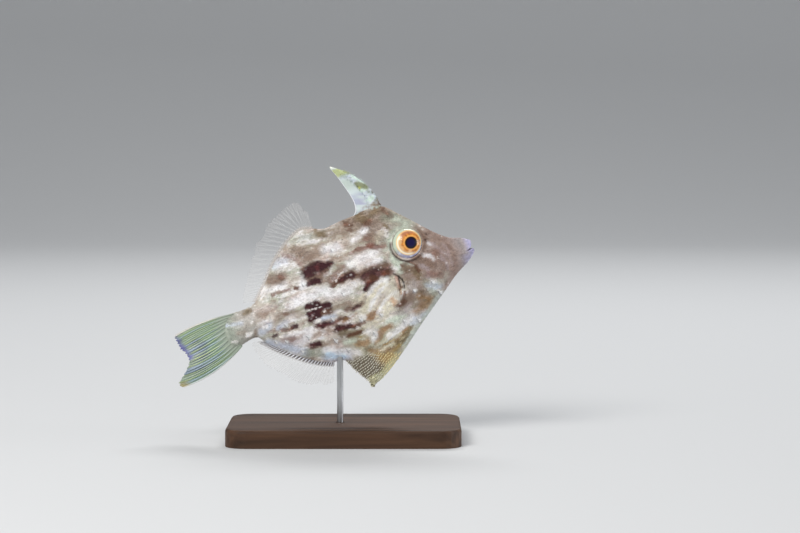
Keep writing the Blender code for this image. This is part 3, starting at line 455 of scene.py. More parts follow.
    ("brown", 0.5, 0.85, (32.4, -9.6), (36.0, -9.5)),
    ("dark", 0.62, 0.95, (16.2, -4.2), (17.8, -4.2)),
    ("brown", 0.6, 0.75, (13.0, -4.0), (15.9, -4.3)),
    ("dark", 0.55, 0.85, (10.8, -4.8), (11.7, -4.8)),
    ("rust", 0.8, 0.55, (12.6, -6.6), (15.4, -7.4)),
    ("brown", 0.8, 0.7, (19.2, -10.9), (22.3, -11.2)),
    ("dark", 0.65, 0.95, (19.7, -10.9), (20.8, -10.9), (22.0, -11.1)),
    ("brown", 0.75, 0.75, (32.4, -4.4), (35.0, -4.8), (37.0, -4.3)),
    ("dark", 0.6, 0.85, (34.4, -5.0), (36.2, -4.5)),
    ("olive", 0.9, 0.7, (29.0, -10.6), (31.6, -11.4), (34.6, -11.6)),
    ("brown", 0.55, 0.8, (30.6, -11.6), (34.0, -11.8)),
    ("brown", 0.5, 0.75, (15.5, 0.0), (16.4, -0.2)),
    ("umber", 0.9, 0.5, (14.0, 0.6), (18.2, 0.2)),
    ("brown", 0.45, 0.8, (13.9, 6.4), (14.6, 6.3)),
    ("rust", 0.45, 0.6, (15.4, 6.4), (19.2, 6.3)),
    ("brown", 0.5, 0.9, (20.8, 6.1), (21.5, 5.9)),
    ("rust", 0.5, 0.65, (38.6, 10.1), (41.0, 10.4), (44.6, 10.3)),
    ("rust", 0.7, 0.8, (44.4, 10.4), (46.6, 9.3), (49.0, 8.8)),
    ("umber", 1.1, 0.6, (46.0, 12.6), (48.6, 11.6), (48.8, 10.0)),
    # painted shadow: a soft brown band on the upper rear flank
    ("umber", 1.7, 0.8, (14.6, 10.6), (17.8, 10.2)),
    ("rust", 0.6, 0.6, (17.6, 10.4), (18.0, 10.2)),
    ("rust", 0.65, 0.5, (20.4, 16.0), (22.4, 14.8), (23.6, 13.4), (24.4, 12.0), (24.5, 10.6)),
    ("umber", 1.3, 0.55, (24.4, 16.2), (26.6, 14.2), (27.6, 12.6)),
    ("olive", 0.8, 0.75, (31.4, 19.2), (33.2, 17.0)),
    ("brown", 0.6, 0.75, (40.2, 18.2), (41.4, 17.4)),
    ("brown", 0.4, 0.6, (40.6, 16.4), (41.2, 15.8)),
    ("olive", 1.0, 0.7, (44.0, 18.8), (46.0, 17.6), (49.5, 19.0)),
    ("brown", 0.8, 0.7, (45.6, 16.2), (47.0, 16.8)),
    ("brown", 0.7, 0.6, (51.6, 18.0), (52.9, 16.0)),
    ("olive", 0.55, 0.8, (50.4, 14.2), (51.8, 12.2)),
    ("brown", 0.42, 0.8, (51.2, 2.4), (53.2, 2.7), (54.9, 1.2), (55.2, -1.0)),
    ("umber", 0.8, 0.6, (52.0, 0.8), (53.4, 0.6)),
    # painted shadow: a soft brown line running down from the end of the gill slit
    ("brown", 0.45, 0.8, (49.5, -5.0), (48.6, -7.0), (46.8, -8.4)),
    ("orange", 0.8, 0.85, (45.4, -5.8), (46.0, -7.2)),
    ("orange", 0.3, 0.6, (48.4, -3.6), (48.7, -4.7), (48.4, -5.8)),
    ("ochre", 0.8, 0.8, (38.2, -8.6), (40.5, -7.8)),
    ("rust", 0.9, 0.55, (57.8, -2.6), (60.6, -4.4)),
    ("rust", 0.8, 0.45, (60.2, 1.6), (62.0, 2.4)),
    ("umber", 0.9, 0.5, (60.4, 8.4), (63.4, 5.6)),
    ("ochre", 0.8, 0.45, (52.8, -7.8), (56.0, -9.2)),
    ("olive", 0.7, 0.8, (4.4, 4.1), (6.2, 4.3)),
    ("taupe", 0.6, 0.7, (6.2, -1.6), (5.4, -3.2)),
    ("taupe", 0.8, 0.5, (1.4, -0.8), (3.4, -1.2)),
    ("umber", 1.2, 0.8, (47.0, -8.4), (49.4, -7.4), (50.8, -6.8)),
    ("brown", 0.6, 0.7, (47.2, -8.2), (48.8, -7.6)),
    ("umber", 0.8, 0.5, (54.2, -7.2), (55.6, -8.2)),
    ("brown", 0.5, 0.6, (30.4, -11.4), (33.6, -11.6)),
    ("olive", 0.3, 0.6, (42.4, -17.8), (45.0, -16.8), (47.8, -15.6)),
    ("olive", 0.4, 0.7, (44.0, -18.8), (47.0, -17.0)),
    ("lilac", 0.45, 0.5, (40.0, -6.4), (43.0, -4.2), (46.4, -2.4)),
    ("taupe", 0.5, 0.5, (37.8, -3.6), (40.0, -1.8), (42.0, -0.6)),
    ("taupe", 0.4, 0.45, (38.4, -8.4), (41.6, -5.8), (45.0, -4.4)),
    # light spots on top: pale patches and painted glints
    ("white", 0.5, 0.75, (38.6, -6.6), (41.6, -3.6), (45.8, -1.2)),
    ("white", 0.5, 0.7, (39.6, -2.4), (43.2, -0.4), (46.2, 0.2)),
    ("white", 0.5, 0.7, (40.4, -8.2), (43.4, -5.6), (47.4, -4.4)),
    ("painted_glint", 0.6, 0.6, (41.0, -15.4), (42.0, -15.2)),
    ("painted_glint", 0.6, 0.6, (35.0, -12.6), (36.4, -12.8)),
    ("white", 0.5, 0.8, (57.6, 3.1), (59.2, 2.2), (60.4, 0.9)),
    ("white", 0.4, 0.6, (60.2, 5.6), (60.6, 4.8)),
    ("painted_glint", 0.17, 0.8, (22.2, -0.95), (24.0, -1.15), (25.8, -1.3)),
    ("lilac", 0.4, 0.75, (62.4, 0.8), (63.3, -1.2), (63.1, -3.2)),
    ("mist", 0.9, 0.6, (56.6, -6.0), (59.4, -7.4)),
    ("painted_glint", 0.24, 0.7, (32.4, 4.3), (33.4, 5.3), (35.0, 6.0)),
    ("painted_glint", 0.28, 0.8, (26.2, -2.5), (26.5, -2.6)),
    ("painted_glint", 0.2, 0.9, (28.6, 9.5), (28.7, 9.2)),
    ("painted_glint", 0.35, 0.9, (34.2, 12.9), (34.9, 12.5)),
    ("painted_glint", 0.35, 0.8, (18.0, 5.2), (18.2, 5.0)),
    ("painted_glint", 0.35, 0.8, (5.8, 1.0), (6.0, 1.0)),
    ("painted_glint", 0.55, 1.0, (3.6, -2.0), (4.4, -1.9)),
    ("painted_glint", 0.35, 0.7, (-1.2, -2.7), (0.0, -2.8)),
    ("mist", 0.5, 0.9, (-1.4, 2.0), (-0.8, 2.1)),
    ("mist", 0.6, 0.5, (0.6, 2.0), (3.0, 1.6)),
    ("painted_glint", 0.5, 0.6, (8.6, -1.6), (9.4, -1.6)),
    ("painted_glint", 0.35, 0.8, (52.5, -5.7), (52.8, -5.7)),
    ("painted_glint", 0.5, 0.7, (23.6, -4.7), (24.3, -4.7)),
    ("painted_glint", 0.4, 0.7, (12.5, -5.7), (12.9, -5.6)),
    ("painted_glint", 0.35, 0.7, (15.0, -5.3), (15.4, -5.3)),
    ("painted_glint", 0.3, 0.7, (16.8, -5.7), (17.3, -5.6)),
    ("painted_glint", 0.35, 0.6, (18.2, 2.0), (18.7, 2.2)),
    ("painted_glint", 0.3, 0.6, (16.4, 2.6), (16.8, 2.6)),
    ("painted_glint", 0.3, 0.7, (27.0, -8.3), (27.5, -8.2)),
    ("painted_glint", 0.3, 0.7, (33.5, -10.6), (34.1, -10.5)),
    ("painted_glint", 0.6, 0.6, (36.2, -12.8), (37.2, -12.8)),
    ("painted_glint", 0.4, 0.7, (58.9, -8.0), (59.3, -8.8)),
    ("painted_glint", 0.4, 0.7, (41.6, -7.6), (41.8, -7.8)),
)
# the little tassels of skin: foot as (x, z), height and half width
CIRRI = (
    (26.7, -12.5, 1.8, 0.34),
    (29.1, -16.2, 1.8, 0.34),
    (37.9, -14.2, 1.8, 0.36),
    (46.9, -13.9, 1.8, 0.36),
    (50.8, -14.8, 1.5, 0.34),
    (59.1, -9.4, 1.5, 0.34),
    (34.4, 12.3, 1.0, 0.30),
    (23.5, 6.1, 0.9, 0.28),
    (19.8, -8.8, 1.6, 0.32),
    (15.0, -3.4, 1.3, 0.28),
    (10.5, -7.2, 1.1, 0.26),
    (13.4, -7.9, 1.0, 0.26),
    (16.6, -12.2, 1.3, 0.30),
    (28.0, -6.2, 1.3, 0.30),
    (35.5, -9.0, 1.3, 0.30),
    (41.3, -9.5, 1.2, 0.28),
    (52.3, -6.2, 1.0, 0.26),
    (57.9, -5.6, 1.0, 0.28),
    (33.3, -0.2, 0.9, 0.26),
)
# how many small white flecks of painted glint are strewn over the skin
PAINTED_GLINT_FLECKS = 170
FLAP_LINE = ((27.2, -18.3), (32.5, -18.3), (36.5, -18.9), (40.5, -20.2), (43.5, -21.6), (47.0, -23.0))
FLAP_TURN = math.radians(28.0)  # slope of the rows of scales on the flap
FLAP_PITCH = 0.68  # from one row of them to the next
WARM_STAIN = np.array((1.0, 0.6, 0.45))  # how far the dark blotches are lit up towards rust in places
FRONT_EDGE = ((31.9, -26.6), (36.4, -25.8), (43.8, -21.0), (50.9, -15.6), (59.2, -9.7))


def paint(tone):
    """A tone as it looks on a screen, made linear. Colours that are linear already stay as they are."""
    if isinstance(tone, np.ndarray):
        return tone
    return np.array([((c / 255 + 0.055) / 1.055) ** 2.4 for c in tone])


def over(colour, tone, weight):
    colour = paint(colour)
    return colour + (paint(tone) - colour) * np.clip(weight, 0.0, 1.0)[:, None]


def coats(colour, *layers):
    """A ground colour with tones laid over it in turn, each by its own weight."""
    for tone, weight in layers:
        colour = over(colour, tone, weight)
    return colour


def on_flap(x, z):
    """1 on the loose flap under the belly, 0 off it."""
    below = np.interp(x, *zip(*FLAP_LINE)) - z
    ragged = 0.5 * np.sin(2.1 * x) + 0.3 * np.sin(5.3 * x + 1.0)
    return smooth(-0.5, 0.9, below + 0.6 * ragged) * smooth(26.2, 27.2, x) * smooth(47.0, 42.5, x)


def ground_tones(x, z, streaks, dapple, tint, veins):
    """The clouded ground, with a brown head and nape, a greener belly and a green-grey root of the tail."""
    mottle = streaks + 0.45 * dapple
    head = smooth(50.0, 57.0, x + 0.12 * z)
    nape = smooth(13.0, 17.0, z + dapple) * smooth(32.0, 40.0, x)
    low = smooth(-9.0, -15.0, z + 1.2 * dapple) * smooth(27.0, 34.0, x)
    return coats(
        (206, 199, 189),
        ((206, 184, 178), 0.55 * smooth(0.05, 0.6, tint)),
        ((184, 188, 170), 0.75 * smooth(0.05, 0.6, -tint)),
        ((238, 236, 238), 0.9 * smooth(0.0, 0.65, mottle)),
        ((160, 140, 126), 0.75 * smooth(0.0, -0.75, mottle)),
        ((242, 239, 236), 0.55 * smooth(0.15, 0.8, veins)),
        ((168, 144, 130), 0.5 * smooth(0.15, 0.8, -veins)),
        ((182, 180, 174), 0.7 * smooth(11.0, 4.0, x)),
        ((156, 134, 124), 0.85 * head),
        ((184, 170, 162), 0.6 * head * smooth(0.1, 0.8, streaks + 0.4 * dapple)),
        ((122, 98, 86), 0.6 * head * smooth(0.1, 0.8, -dapple)),
        ((166, 154, 138), 0.6 * nape),
        ((110, 92, 76), 0.7 * nape * smooth(0.15, 0.8, -dapple)),
        ((196, 196, 168), 0.65 * low),
        ((158, 168, 154), 0.85 * smooth(4.0, -2.0, x)),
    )


def brushed(colour, x, z, dapple, grit, tint, veins):
    """The strokes, laid in turn with ragged edges. The dark ones are lit up towards rust in places."""
    warm = smooth(-0.1, 0.9, 0.6 * tint + dapple + 0.4 * grit)[:, None]
    for tone, half, strength, *line in STROKES:
        shade, softness = PAINTS[tone]
        away = (off_line(x, z, line)[0] + 0.28 * dapple + 0.2 * grit) / half
        soft = 1.0 - smooth(1.0 - softness, 1.0 + softness, away)
        stain = 1.0 + 0.2 * veins[:, None]
        if tone in ("dark", "brown"):
            stain = stain + WARM_STAIN * warm
        colour = over(colour, paint(shade) * stain, strength * soft)
    return colour


def flap_tones(colour, x, z, dapple):
    """Dark skin that shows between the pale scales of the flap, golden in front and pale along its edge."""
    front = smooth(19.6, 23.1, x + 0.7 * z + 0.8 * dapple)
    edge = off_line(x, z, FRONT_EDGE)[0]
    green = smooth(2.0, 0.9, edge + 0.3 * dapple) * smooth(46.0, 38.0, x)
    rim = smooth(1.6, 0.5, edge + 0.4 * dapple) * (1.0 - 0.6 * smooth(45.0, 40.0, x))
    return coats(
        colour,
        (over((116, 106, 90), (170, 142, 94), front), 0.95 * on_flap(x, z)),
        ((194, 192, 146), 0.85 * green),
        ((196, 204, 200), 0.6 * rim),
    )


def eye_surround(colour, x, z, dapple):
    """A pale ring behind and over the eye, a dark line of painted shade tight under it, a soft olive-brown
    band of painted shade before it, and the brown snout.
    """
    dx, dz = x - EYE[0], z - EYE[1]
    from_eye = np.maximum(np.hypot(dx, dz), 0.1)
    behind = smooth(0.3, -0.4, (dx - 0.5 * dz) / from_eye)
    above = smooth(0.1, 0.8, dz / from_eye)
    under = smooth(0.0, 0.5, (-dx - 1.6 * dz) / from_eye) * smooth(0.75, 0.3, dx / from_eye)
    before = smooth(0.2, 0.8, (dx - 0.3 * dz) / from_eye)
    return coats(
        colour,
        ((206, 216, 200), 0.85 * bell(from_eye - 5.0 + 0.4 * dapple, 0.6) * behind),
        ((170, 172, 160), 0.5 * above * smooth(8.0, 5.0, from_eye + dapple)),
        # painted shade: a dark line tight under the eye's lower rim
        ((74, 52, 48), 0.9 * under * bell(from_eye - 4.72, 0.36)),
        # painted shade: a soft olive-brown band on the eye's front side
        ((112, 86, 70), 0.7 * before * bell(from_eye - 4.9, 0.8)),
        ((138, 116, 108), 0.5 * smooth(57.0, 63.0, x - 0.2 * np.abs(z))),
    )


def mouth_and_gill(colour, x, z):
    """Lavender lips, the line of the mouth, the gill slit, the root of the pectoral fin and the nostrils. The
    dark in the mouth's line, the gill slit and the nostrils is painted shade in their openings.
    """
    lips = np.maximum(smooth(69.2, 71.2, x), 0.75 * smooth(67.0, 70.0, x) * smooth(-0.3, -2.0, z))
    from_mouth, along, _ = off_line(x, z, MOUTH_LINE)
    from_root, _, hand = off_line(x, z, PECTORAL_ROOT)
    return coats(
        colour,
        ((164, 157, 158), 0.75 * smooth(66.0, 69.6, x + 0.25 * np.abs(z))),
        ((174, 173, 212), 0.7 * lips),
        # painted shade in the line of the mouth
        ((96, 80, 104), 0.75 * bell(from_mouth, 0.15) * smooth(0.2, 0.5, along)),
        # painted shade in the gill slit
        ((22, 11, 11), 0.97 * bell(off_line(x, z, SLIT)[0], 0.25)),
        ((206, 172, 158), 0.8 * bell(from_root, 0.45)),
        ((62, 42, 38), 0.9 * bell(from_root - 0.5, 0.19) * (hand < 0)),
        # painted shade in the nostrils
        *(((64, 46, 44), 0.85 * bell(np.hypot(x - nx, z - nz), 0.3)) for nx, nz in NOSTRILS),
    )


def painted_glints_and_tassels(colour, x, z):
    """Painted glints strewn over the skin as small white flecks, and for each tassel a pale foot, a soft
    painted shade round it and a dark dash of painted shadow beside it.
    """
    draw = random.Random(12)
    for _ in range(PAINTED_GLINT_FLECKS):
        fx, fz, size = draw.uniform(0.0, 66.0), draw.uniform(-18.0, 18.0), draw.uniform(0.1, 0.23)
        bright = draw.uniform(0.3, 0.8)
        near = np.abs(x - fx) < 1.2
        away = np.hypot((x[near] - fx) * 0.8, z[near] - fz)
        colour[near] = over(colour[near], PAINTS["painted_glint"][0], bright * bell(away, size))
    for cx, cz, height, half in CIRRI:
        dash = off_line(x, z, ((cx - 0.9 * half, cz - 0.2), (cx - 1.6 * half, cz + 0.6 * height)))[0]
        colour = coats(
            colour,
            # painted shade: a soft grey round the tassel's foot
            ((176, 168, 164), 0.3 * bell(np.hypot(x - cx, z - cz - 0.4 * height), 1.3)),
            ((250, 251, 254), 0.95 * bell(np.hypot(x - cx, z - cz - 0.3 * height), 0.48)),
            # painted shadow: a dark dash beside the tassel
            ((92, 92, 106), 0.6 * bell(dash, 0.16)),
        )
    return colour


def markings(x, z, side):
    """Linear colour of the skin at places on one side of the fish."""
    here = in_plane(x, z, 7.0 * side)
    bent = x + 0.30 * cloud(here, 1.7, 3, 4), z + 0.24 * cloud(here, 1.5, 9, 4)
    streaks = cloud(here * (0.34, 1.0, 1.0), 1.9, 15, 4)
    dapple = cloud(here * (0.7, 1.0, 1.0), 1.0, 25, 3)
    grit = cloud(here, 0.46, 33, 2)
    tint = cloud(here * (0.5, 1.0, 1.0), 2.6, 35, 3)
    veins = cloud(here * (0.5, 1.35, 1.0), 0.85, 45, 3)
    colour = ground_tones(x, z, streaks, dapple, tint, veins)
    colour = brushed(colour, *bent, dapple, grit, tint, veins)
    colour = flap_tones(colour, x, z, dapple)
    colour = eye_surround(colour, x, z, dapple)
    colour = mouth_and_gill(colour, x, z)
    colour = painted_glints_and_tassels(colour, x, z)
    grain = 1.0 + 0.14 * cloud(here, 0.6, 77, 2)
    return np.clip(colour * grain[:, None], 0.0, 1.0)


def set_colours(mesh, name, colours):
    """Writes one colour for each vertex, for the material to read."""
    layer = mesh.color_attributes.new(name, "FLOAT_COLOR", "POINT")
    full = np.ones((len(mesh.vertices), 4), np.float32)
    full[:, : colours.shape[1]] = colours
    layer.data.foreach_set("color", full.ravel())


def vertex_places(mesh):
    places = np.empty(3 * len(mesh.vertices), np.float32)
    mesh.vertices.foreach_get("co", places)
    return places.reshape(-1, 3).astype(float)


def mount(name, mesh, finish, slot, *nodes):
    """Adds a finished piece, in the pose, in place of CAD parts."""
    mesh.transform(POSE)
    mesh.materials.append(finish)
    piece = bpy.data.objects.new(name, mesh)
    bpy.context.scene.collection.objects.link(piece)
    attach(piece, "root")
    if nodes:
        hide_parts(*nodes)


def painted_finish(name, layer, surface, bump_height, grain_share, grain_scale=2600.0):
    """A finish that reads the piece's own colours, broken up and roughened by a fine grain."""
    finish, nodes, links, shader = new_finish(name, surface)
    coat = nodes.new("ShaderNodeAttribute")
    coat.attribute_name = layer
    fine = grain_noise(nodes, links, grain_scale, 3.0)
    tint = nodes.new("ShaderNodeMix")
    tint.data_type, tint.blend_type = "RGBA", "OVERLAY"
    tint.inputs["Factor"].default_value = grain_share
    links.new(coat.outputs["Color"], tint.inputs["A"])
    links.new(fine.outputs["Fac"], tint.inputs["B"])
    links.new(tint.outputs["Result"], shader.inputs["Base Color"])
    raise_grain(nodes, links, shader, fine, bump_height, 0.6)
    return finish


def square_grid(bm, columns, rows):
    """A flat grid from -1 to 1 each way, and its vertices' places on it."""
    bmesh.ops.create_grid(bm, x_segments=columns, y_segments=rows, size=1.0)
    return np.array([v.co[:2] for v in bm.verts])


def only_verts(geom):
    return [g for g in geom if isinstance(g, bmesh.types.BMVert)]


def doubled(bm):
    """Copies all of a mesh in place, and gives the copy's geometry."""
    return bmesh.ops.duplicate(bm, geom=bm.verts[:] + bm.edges[:] + bm.faces[:])["geom"]


def finished(bm, name, rounded=True):
    """Turns the faces outwards, shades them smooth where rounded, and ends the modelling."""
    bmesh.ops.recalc_face_normals(bm, faces=bm.faces)
    for face in bm.faces:
        face.smooth = rounded
    mesh = bpy.data.meshes.new(name)
    bm.to_mesh(mesh)
    bm.free()
    return mesh


def hide_mesh():
    bm = bmesh.new()
    flat = square_grid(bm, SKIN_STATIONS, SKIN_ROWS)
    unwrap = bm.loops.layers.uv.new("OFBake")
    for loop in (corner for face in bm.faces for corner in face.loops):
        loop[unwrap].uv = [m + h * c for m, h, c in zip(UNWRAP_MIDDLE[-1], UNWRAP_HALF, loop.vert.co)]
    spacing, _ = even_places(SKIN_STATIONS + 1)
    place = np.interp(0.5 + 0.5 * flat[:, 0], np.linspace(0.0, 1.0, SKIN_STATIONS + 1), spacing)
    for vert, point in zip(bm.verts, body_surface(place, np.sin(0.5 * np.pi * flat[:, 1]), SKIN_INSET)):
        vert.co = point
    left_side = doubled(bm)
    bmesh.ops.scale(bm, vec=(1.0, -1.0, 1.0), verts=only_verts(left_side))
    for face in left_side:
        if isinstance(face, bmesh.types.BMFace):
            for loop in face.loops:
                loop[unwrap].uv.y += UNWRAP_MIDDLE[1][1] - UNWRAP_MIDDLE[-1][1]
    bmesh.ops.remove_doubles(bm, verts=[v for v in bm.verts if abs(v.co.y) < 1e-5], dist=1e-4)
    mesh = finished(bm, "hide")
    points = vertex_places(mesh)
    colours = np.empty((len(points), 3))
    for side, here in ((-1, points[:, 1] <= 0), (1, points[:, 1] > 0)):
        colours[here] = markings(points[here, 0], points[here, 2], side)
    set_colours(mesh, "Markings", colours)
    return mesh


skin_surface = {
    "Roughness": 0.52, "Specular IOR Level": 0.2, "Subsurface Weight": 0.06,
    "Subsurface Radius": (0.0010, 0.0006, 0.0004), "Subsurface Scale": 1.0,
}
skin_finish = painted_finish("damp_skin", "Markings", skin_surface, 0.0001, 0.3)
mount(
    "hide", hide_mesh(), skin_finish, "skin",
    "head", "trunk", "ventral_flap", "tail_stalk", "lip_upper", "lip_lower",
)

# Scales. Thousands of stiff little scales, each with a raised spine on its back, set in the hide and lying
# backwards, so that the fish feels like fine sandpaper. They are smallest on the face. On the flap they are
# larger and stand in slanting rows. Each is a closed wedge tinted as the skin beneath it, with painted shade
# on its low corners and a painted highlight on its raised ridge and tip.
SCALE_PITCH = 0.43
SCALE_SIZE = (0.56, 0.32, 0.13)  # length, width and height of a scale on the flank
FLAP_SCALE = (0.74, 0.40, 0.20)
FLAP_STEP = 0.72  # from one scale to the next along a row of the flap
FLAP_ROWS, FLAP_STEPS = range(-60, -29), range(12, 56)
FLAP_PLACES, FLAP_SHARES = (5.6, 10.7, 240), (-0.998, -0.3, 150)  # the flap on the body, and steps over it
FLAP_CATCH = 0.12  # a scale grows where the net has a point this near
FACE_SHRINK = 0.62
SCALE_STRAY, SCALE_TWIST, SCALE_VARIES = 0.07, 0.16, 0.13  # how uneven they are in place, turn and size
ROW_STRAY = 0.012  # how far they leave their row, in sections of the body
ROOT_DEPTH = 0.5 * SKIN_INSET
SCALE_FREE = dict(eye=0.5, slit=0.4, mouth=0.35, nostril=0.5)  # how far scales stay off these
SCALED_FROM, SCALED_TO = -1.6, 69.4  # from the root of the tail fin to the lips
# the corners of a scale in lengths backwards, widths aside and heights outwards from its root, and its faces
SCALE_CORNERS = (
    (-0.35, 0.0, -0.3), (0.0, 0.5, -0.35), (0.0, -0.5, -0.35), (0.05, 0.0, 0.8), (0.65, 0.0, 1.0),
)
SCALE_FACES = ((0, 1, 3), (0, 3, 2), (3, 1, 4), (3, 4, 2), (0, 2, 1), (1, 2, 4))
# painted light on a scale's corners: painted shade on its low front and side corners, a painted highlight on
# its raised ridge and tip
SCALE_PAINTED_SHADING = (0.82, 0.90, 0.90, 1.04, 1.16)
PATCH = 0.003  # size of a scale's patch on the unwrap
PATCH_CORNERS = ((0.0, 0.5), (0.5, 1.0), (0.5, 0.0), (0.5, 0.5), (1.0, 0.5))


def body_scale_places(draw):
    """Where the scales of one side grow, as places and shares on the body, in staggered rows."""
    _, whole = even_places(2)
    places, _ = even_places(int(whole / SCALE_PITCH))
    steps = np.linspace(-0.995, 0.995, 240)
    rows = []
    for index, place in enumerate(places[2:-1]):
        line = body_surface(np.full(len(steps), place), steps)
        run = np.concatenate([[0.0], np.cumsum(np.linalg.norm(np.diff(line, axis=0), axis=1))])
        grown = np.arange(0.5 * (index % 2), run[-1] / SCALE_PITCH) * SCALE_PITCH
        grown = grown + draw.normal(0.0, SCALE_STRAY, len(grown))
        share = np.interp(grown, run, steps)
        rows.append(np.stack([place + draw.normal(0.0, ROW_STRAY, len(share)), share], 1))
    return np.concatenate(rows)


def flap_scale_places(draw):
    """The same for the slanting rows on the flap, found on a close net of points of the flap."""
    places, shares = np.linspace(*FLAP_PLACES), np.linspace(*FLAP_SHARES)
    net = np.array([(p, s) for p in places for s in shares])
    spots = body_surface(net[:, 0], net[:, 1])[:, [0, 2]]
    along = np.array([math.cos(FLAP_TURN), math.sin(FLAP_TURN)])
    across = np.array([-along[1], along[0]])
    found = []
    for row in FLAP_ROWS:
        for step in FLAP_STEPS:
            spot = along * (step + 0.5 * (row % 2)) * FLAP_STEP + across * (row + 0.25) * FLAP_PITCH
            spot = spot + draw.normal(0.0, SCALE_STRAY, 2) + across * 0.35 * math.sin(spot[0] * 0.7)
            away = np.hypot(*(spots - spot).T)
            if away.min() < FLAP_CATCH:
                found.append(net[away.argmin()])
    return np.array(found)


def scale_mesh(side):
    draw = np.random.default_rng(30 + side)
    fields = body_scale_places(draw), flap_scale_places(draw)
    field = np.concatenate(fields)
    stiff = np.arange(len(field)) >= len(fields[0])
    place, share = field.T
    root = body_surface(place, share, ROOT_DEPTH)
    x, z = root[:, 0], root[:, 2]
    flap = on_flap(x, z)
    clear = np.where(stiff, flap > 0.5, flap < 0.5) & (x > SCALED_FROM) & (x < SCALED_TO)
    clear &= np.hypot(x - EYE[0], z - EYE[1]) > EYE_SHOWS + SCALE_FREE["eye"]
    clear &= off_line(x, z, SLIT)[0] > SCALE_FREE["slit"]
    clear &= off_line(x, z, MOUTH_LINE)[0] > SCALE_FREE["mouth"]
    for spot in NOSTRILS:
        clear &= np.hypot(x - spot[0], z - spot[1]) > SCALE_FREE["nostril"]
    place, share, root, stiff = place[clear], share[clear], root[clear], stiff[clear]
    x, z, count = root[:, 0], root[:, 2], clear.sum()
    rear = body_surface(place + 0.03, share, ROOT_DEPTH) - root
    up = body_surface(place, np.clip(share + 0.012, -1, 1), ROOT_DEPTH) - root
    normal = np.cross(rear, up)
    reach = np.linalg.norm(normal, axis=1, keepdims=True)
    normal *= np.sign(-normal[:, 1:2] + 1e-9) / np.maximum(reach, 1e-9)
    rear[stiff] = (-math.cos(FLAP_TURN), 0.0, -math.sin(FLAP_TURN))
    rear[:, 2] += draw.normal(0.0, SCALE_TWIST, count) * np.linalg.norm(rear, axis=1)
    rear -= normal * np.sum(rear * normal, axis=1, keepdims=True)
    rear /= np.maximum(np.linalg.norm(rear, axis=1, keepdims=True), 1e-9)
    beside = np.cross(normal, rear)
    size = np.where(stiff[:, None], FLAP_SCALE, SCALE_SIZE)
    size = size * draw.normal(1.0, SCALE_VARIES, (count, 3)).clip(0.6, 1.4)
    size *= (1.0 - (1.0 - FACE_SHRINK) * smooth(54.0, 66.0, x))[:, None]
    length, width, height = (size[:, k, None] for k in range(3))
    corners = [
        root + back * length * rear + aside * width * beside + out * height * normal
        for back, aside, out in SCALE_CORNERS
    ]
    points = np.stack(corners, 1).reshape(-1, 3)
    points[:, 1] *= -side
    wedge = np.array(SCALE_FACES)[:, ::-side]
    faces = (wedge[None] + len(SCALE_CORNERS) * np.arange(count)[:, None, None]).reshape(-1, 3)
    mesh = bpy.data.meshes.new("scales")
    mesh.from_pydata(points, [], faces)
    tint = markings(x, z, side) * draw.normal(1.0, 0.1, (count, 1)).clip(0.6, 1.3)
    tint = over(tint, over((208, 205, 190), (228, 212, 164), smooth(35.0, 38.0, x)), 0.85 * stiff)
    # the tint is darkened on each scale's low corners as painted shade and lightened on its ridge and tip as
    # a painted highlight
    tint_with_painted_shading = (tint[:, None] * np.array(SCALE_PAINTED_SHADING)[None, :, None]).reshape(-1, 3)
    set_colours(mesh, "Markings", np.clip(tint_with_painted_shading, 0.0, 1.0))
    spacing, _ = even_places(SKIN_STATIONS + 1)
    flat = np.stack([
        np.interp(place, spacing, np.linspace(-1.0, 1.0, SKIN_STATIONS + 1)),
        np.arcsin(np.clip(share, -1, 1)) / (0.5 * np.pi),
    ], 1)
    spots = np.array(UNWRAP_MIDDLE[side]) + np.array(UNWRAP_HALF) * flat
    corner_uv = (spots[:, None] + PATCH * np.array(PATCH_CORNERS)[None]).reshape(-1, 2)
    mesh.uv_layers.new(name="OFBake").data.foreach_set("uv", corner_uv[faces.ravel()].ravel())
    mesh.validate()
    return mesh


for side, name in ((-1, "scales_right"), (1, "scales_left")):
    mount(name, scale_mesh(side), skin_finish, "skin")

# Cirri and comb. Little white tassels of skin stand off the flank here and there, and the rear edge of the
# flap carries a comb of pale scale spines. They are fixed to the hide one by one.
COMB_LINE = ((27.1, -18.3), (29.2, -22.2), (31.6, -26.2))
COMB_TEETH = 22
COMB_TOOTH, COMB_TOOTH_HALF = 0.62, 0.13
COMB_SUNK, COMB_FOOT = 0.35, Vector((0.35, 0.0, 0.2))  # how far a tooth is let into the flap
COMB_LEAN = Vector((-0.86, 0.0, -0.5))
TASSEL_GREY, TASSEL_WHITE = (0.92, 0.93, 0.93, 1.0), (1.0, 1.0, 1.0, 1.0)
TASSEL_FLAT, FORK_FLAT = (1.15, 0.6), (0.6, 0.4)  # width and depth of a tassel and its fork, in half widths
SIDE_PLACES, SIDE_SHARES = (1.0, 15.8, 220), (-0.99, 0.99, 200)  # the points searched for the skin's depth


def tapered_pin(bm, foot, tip, wide, deep, sides=6):
    """A fine pointed pin from foot to tip, flattened to wide by deep."""
    made = bmesh.ops.create_cone(
        bm, cap_ends=True, segments=sides, radius1=1.0, radius2=0.22, depth=1.0,
        matrix=Matrix.Translation((0, 0, 0.5)),
    )["verts"]
    run = tip - foot
    aim = Matrix.Translation(foot) @ run.to_track_quat("Z", "Y").to_matrix().to_4x4()
    bmesh.ops.transform(bm, matrix=aim @ Matrix.Diagonal((wide, deep, run.length, 1.0)), verts=made)
    return made


def side_points():
    """Points spread closely over the right side of the skin."""
    net = np.array([(p, s) for p in np.linspace(*SIDE_PLACES) for s in np.linspace(*SIDE_SHARES)])
    return body_surface(net[:, 0], net[:, 1], SKIN_INSET)


right_side = side_points()


def on_side(x, z):
    """The point on the skin of the right side that shows nearest to (x, z)."""
    return right_side[np.hypot(right_side[:, 0] - x, right_side[:, 2] - z).argmin()]


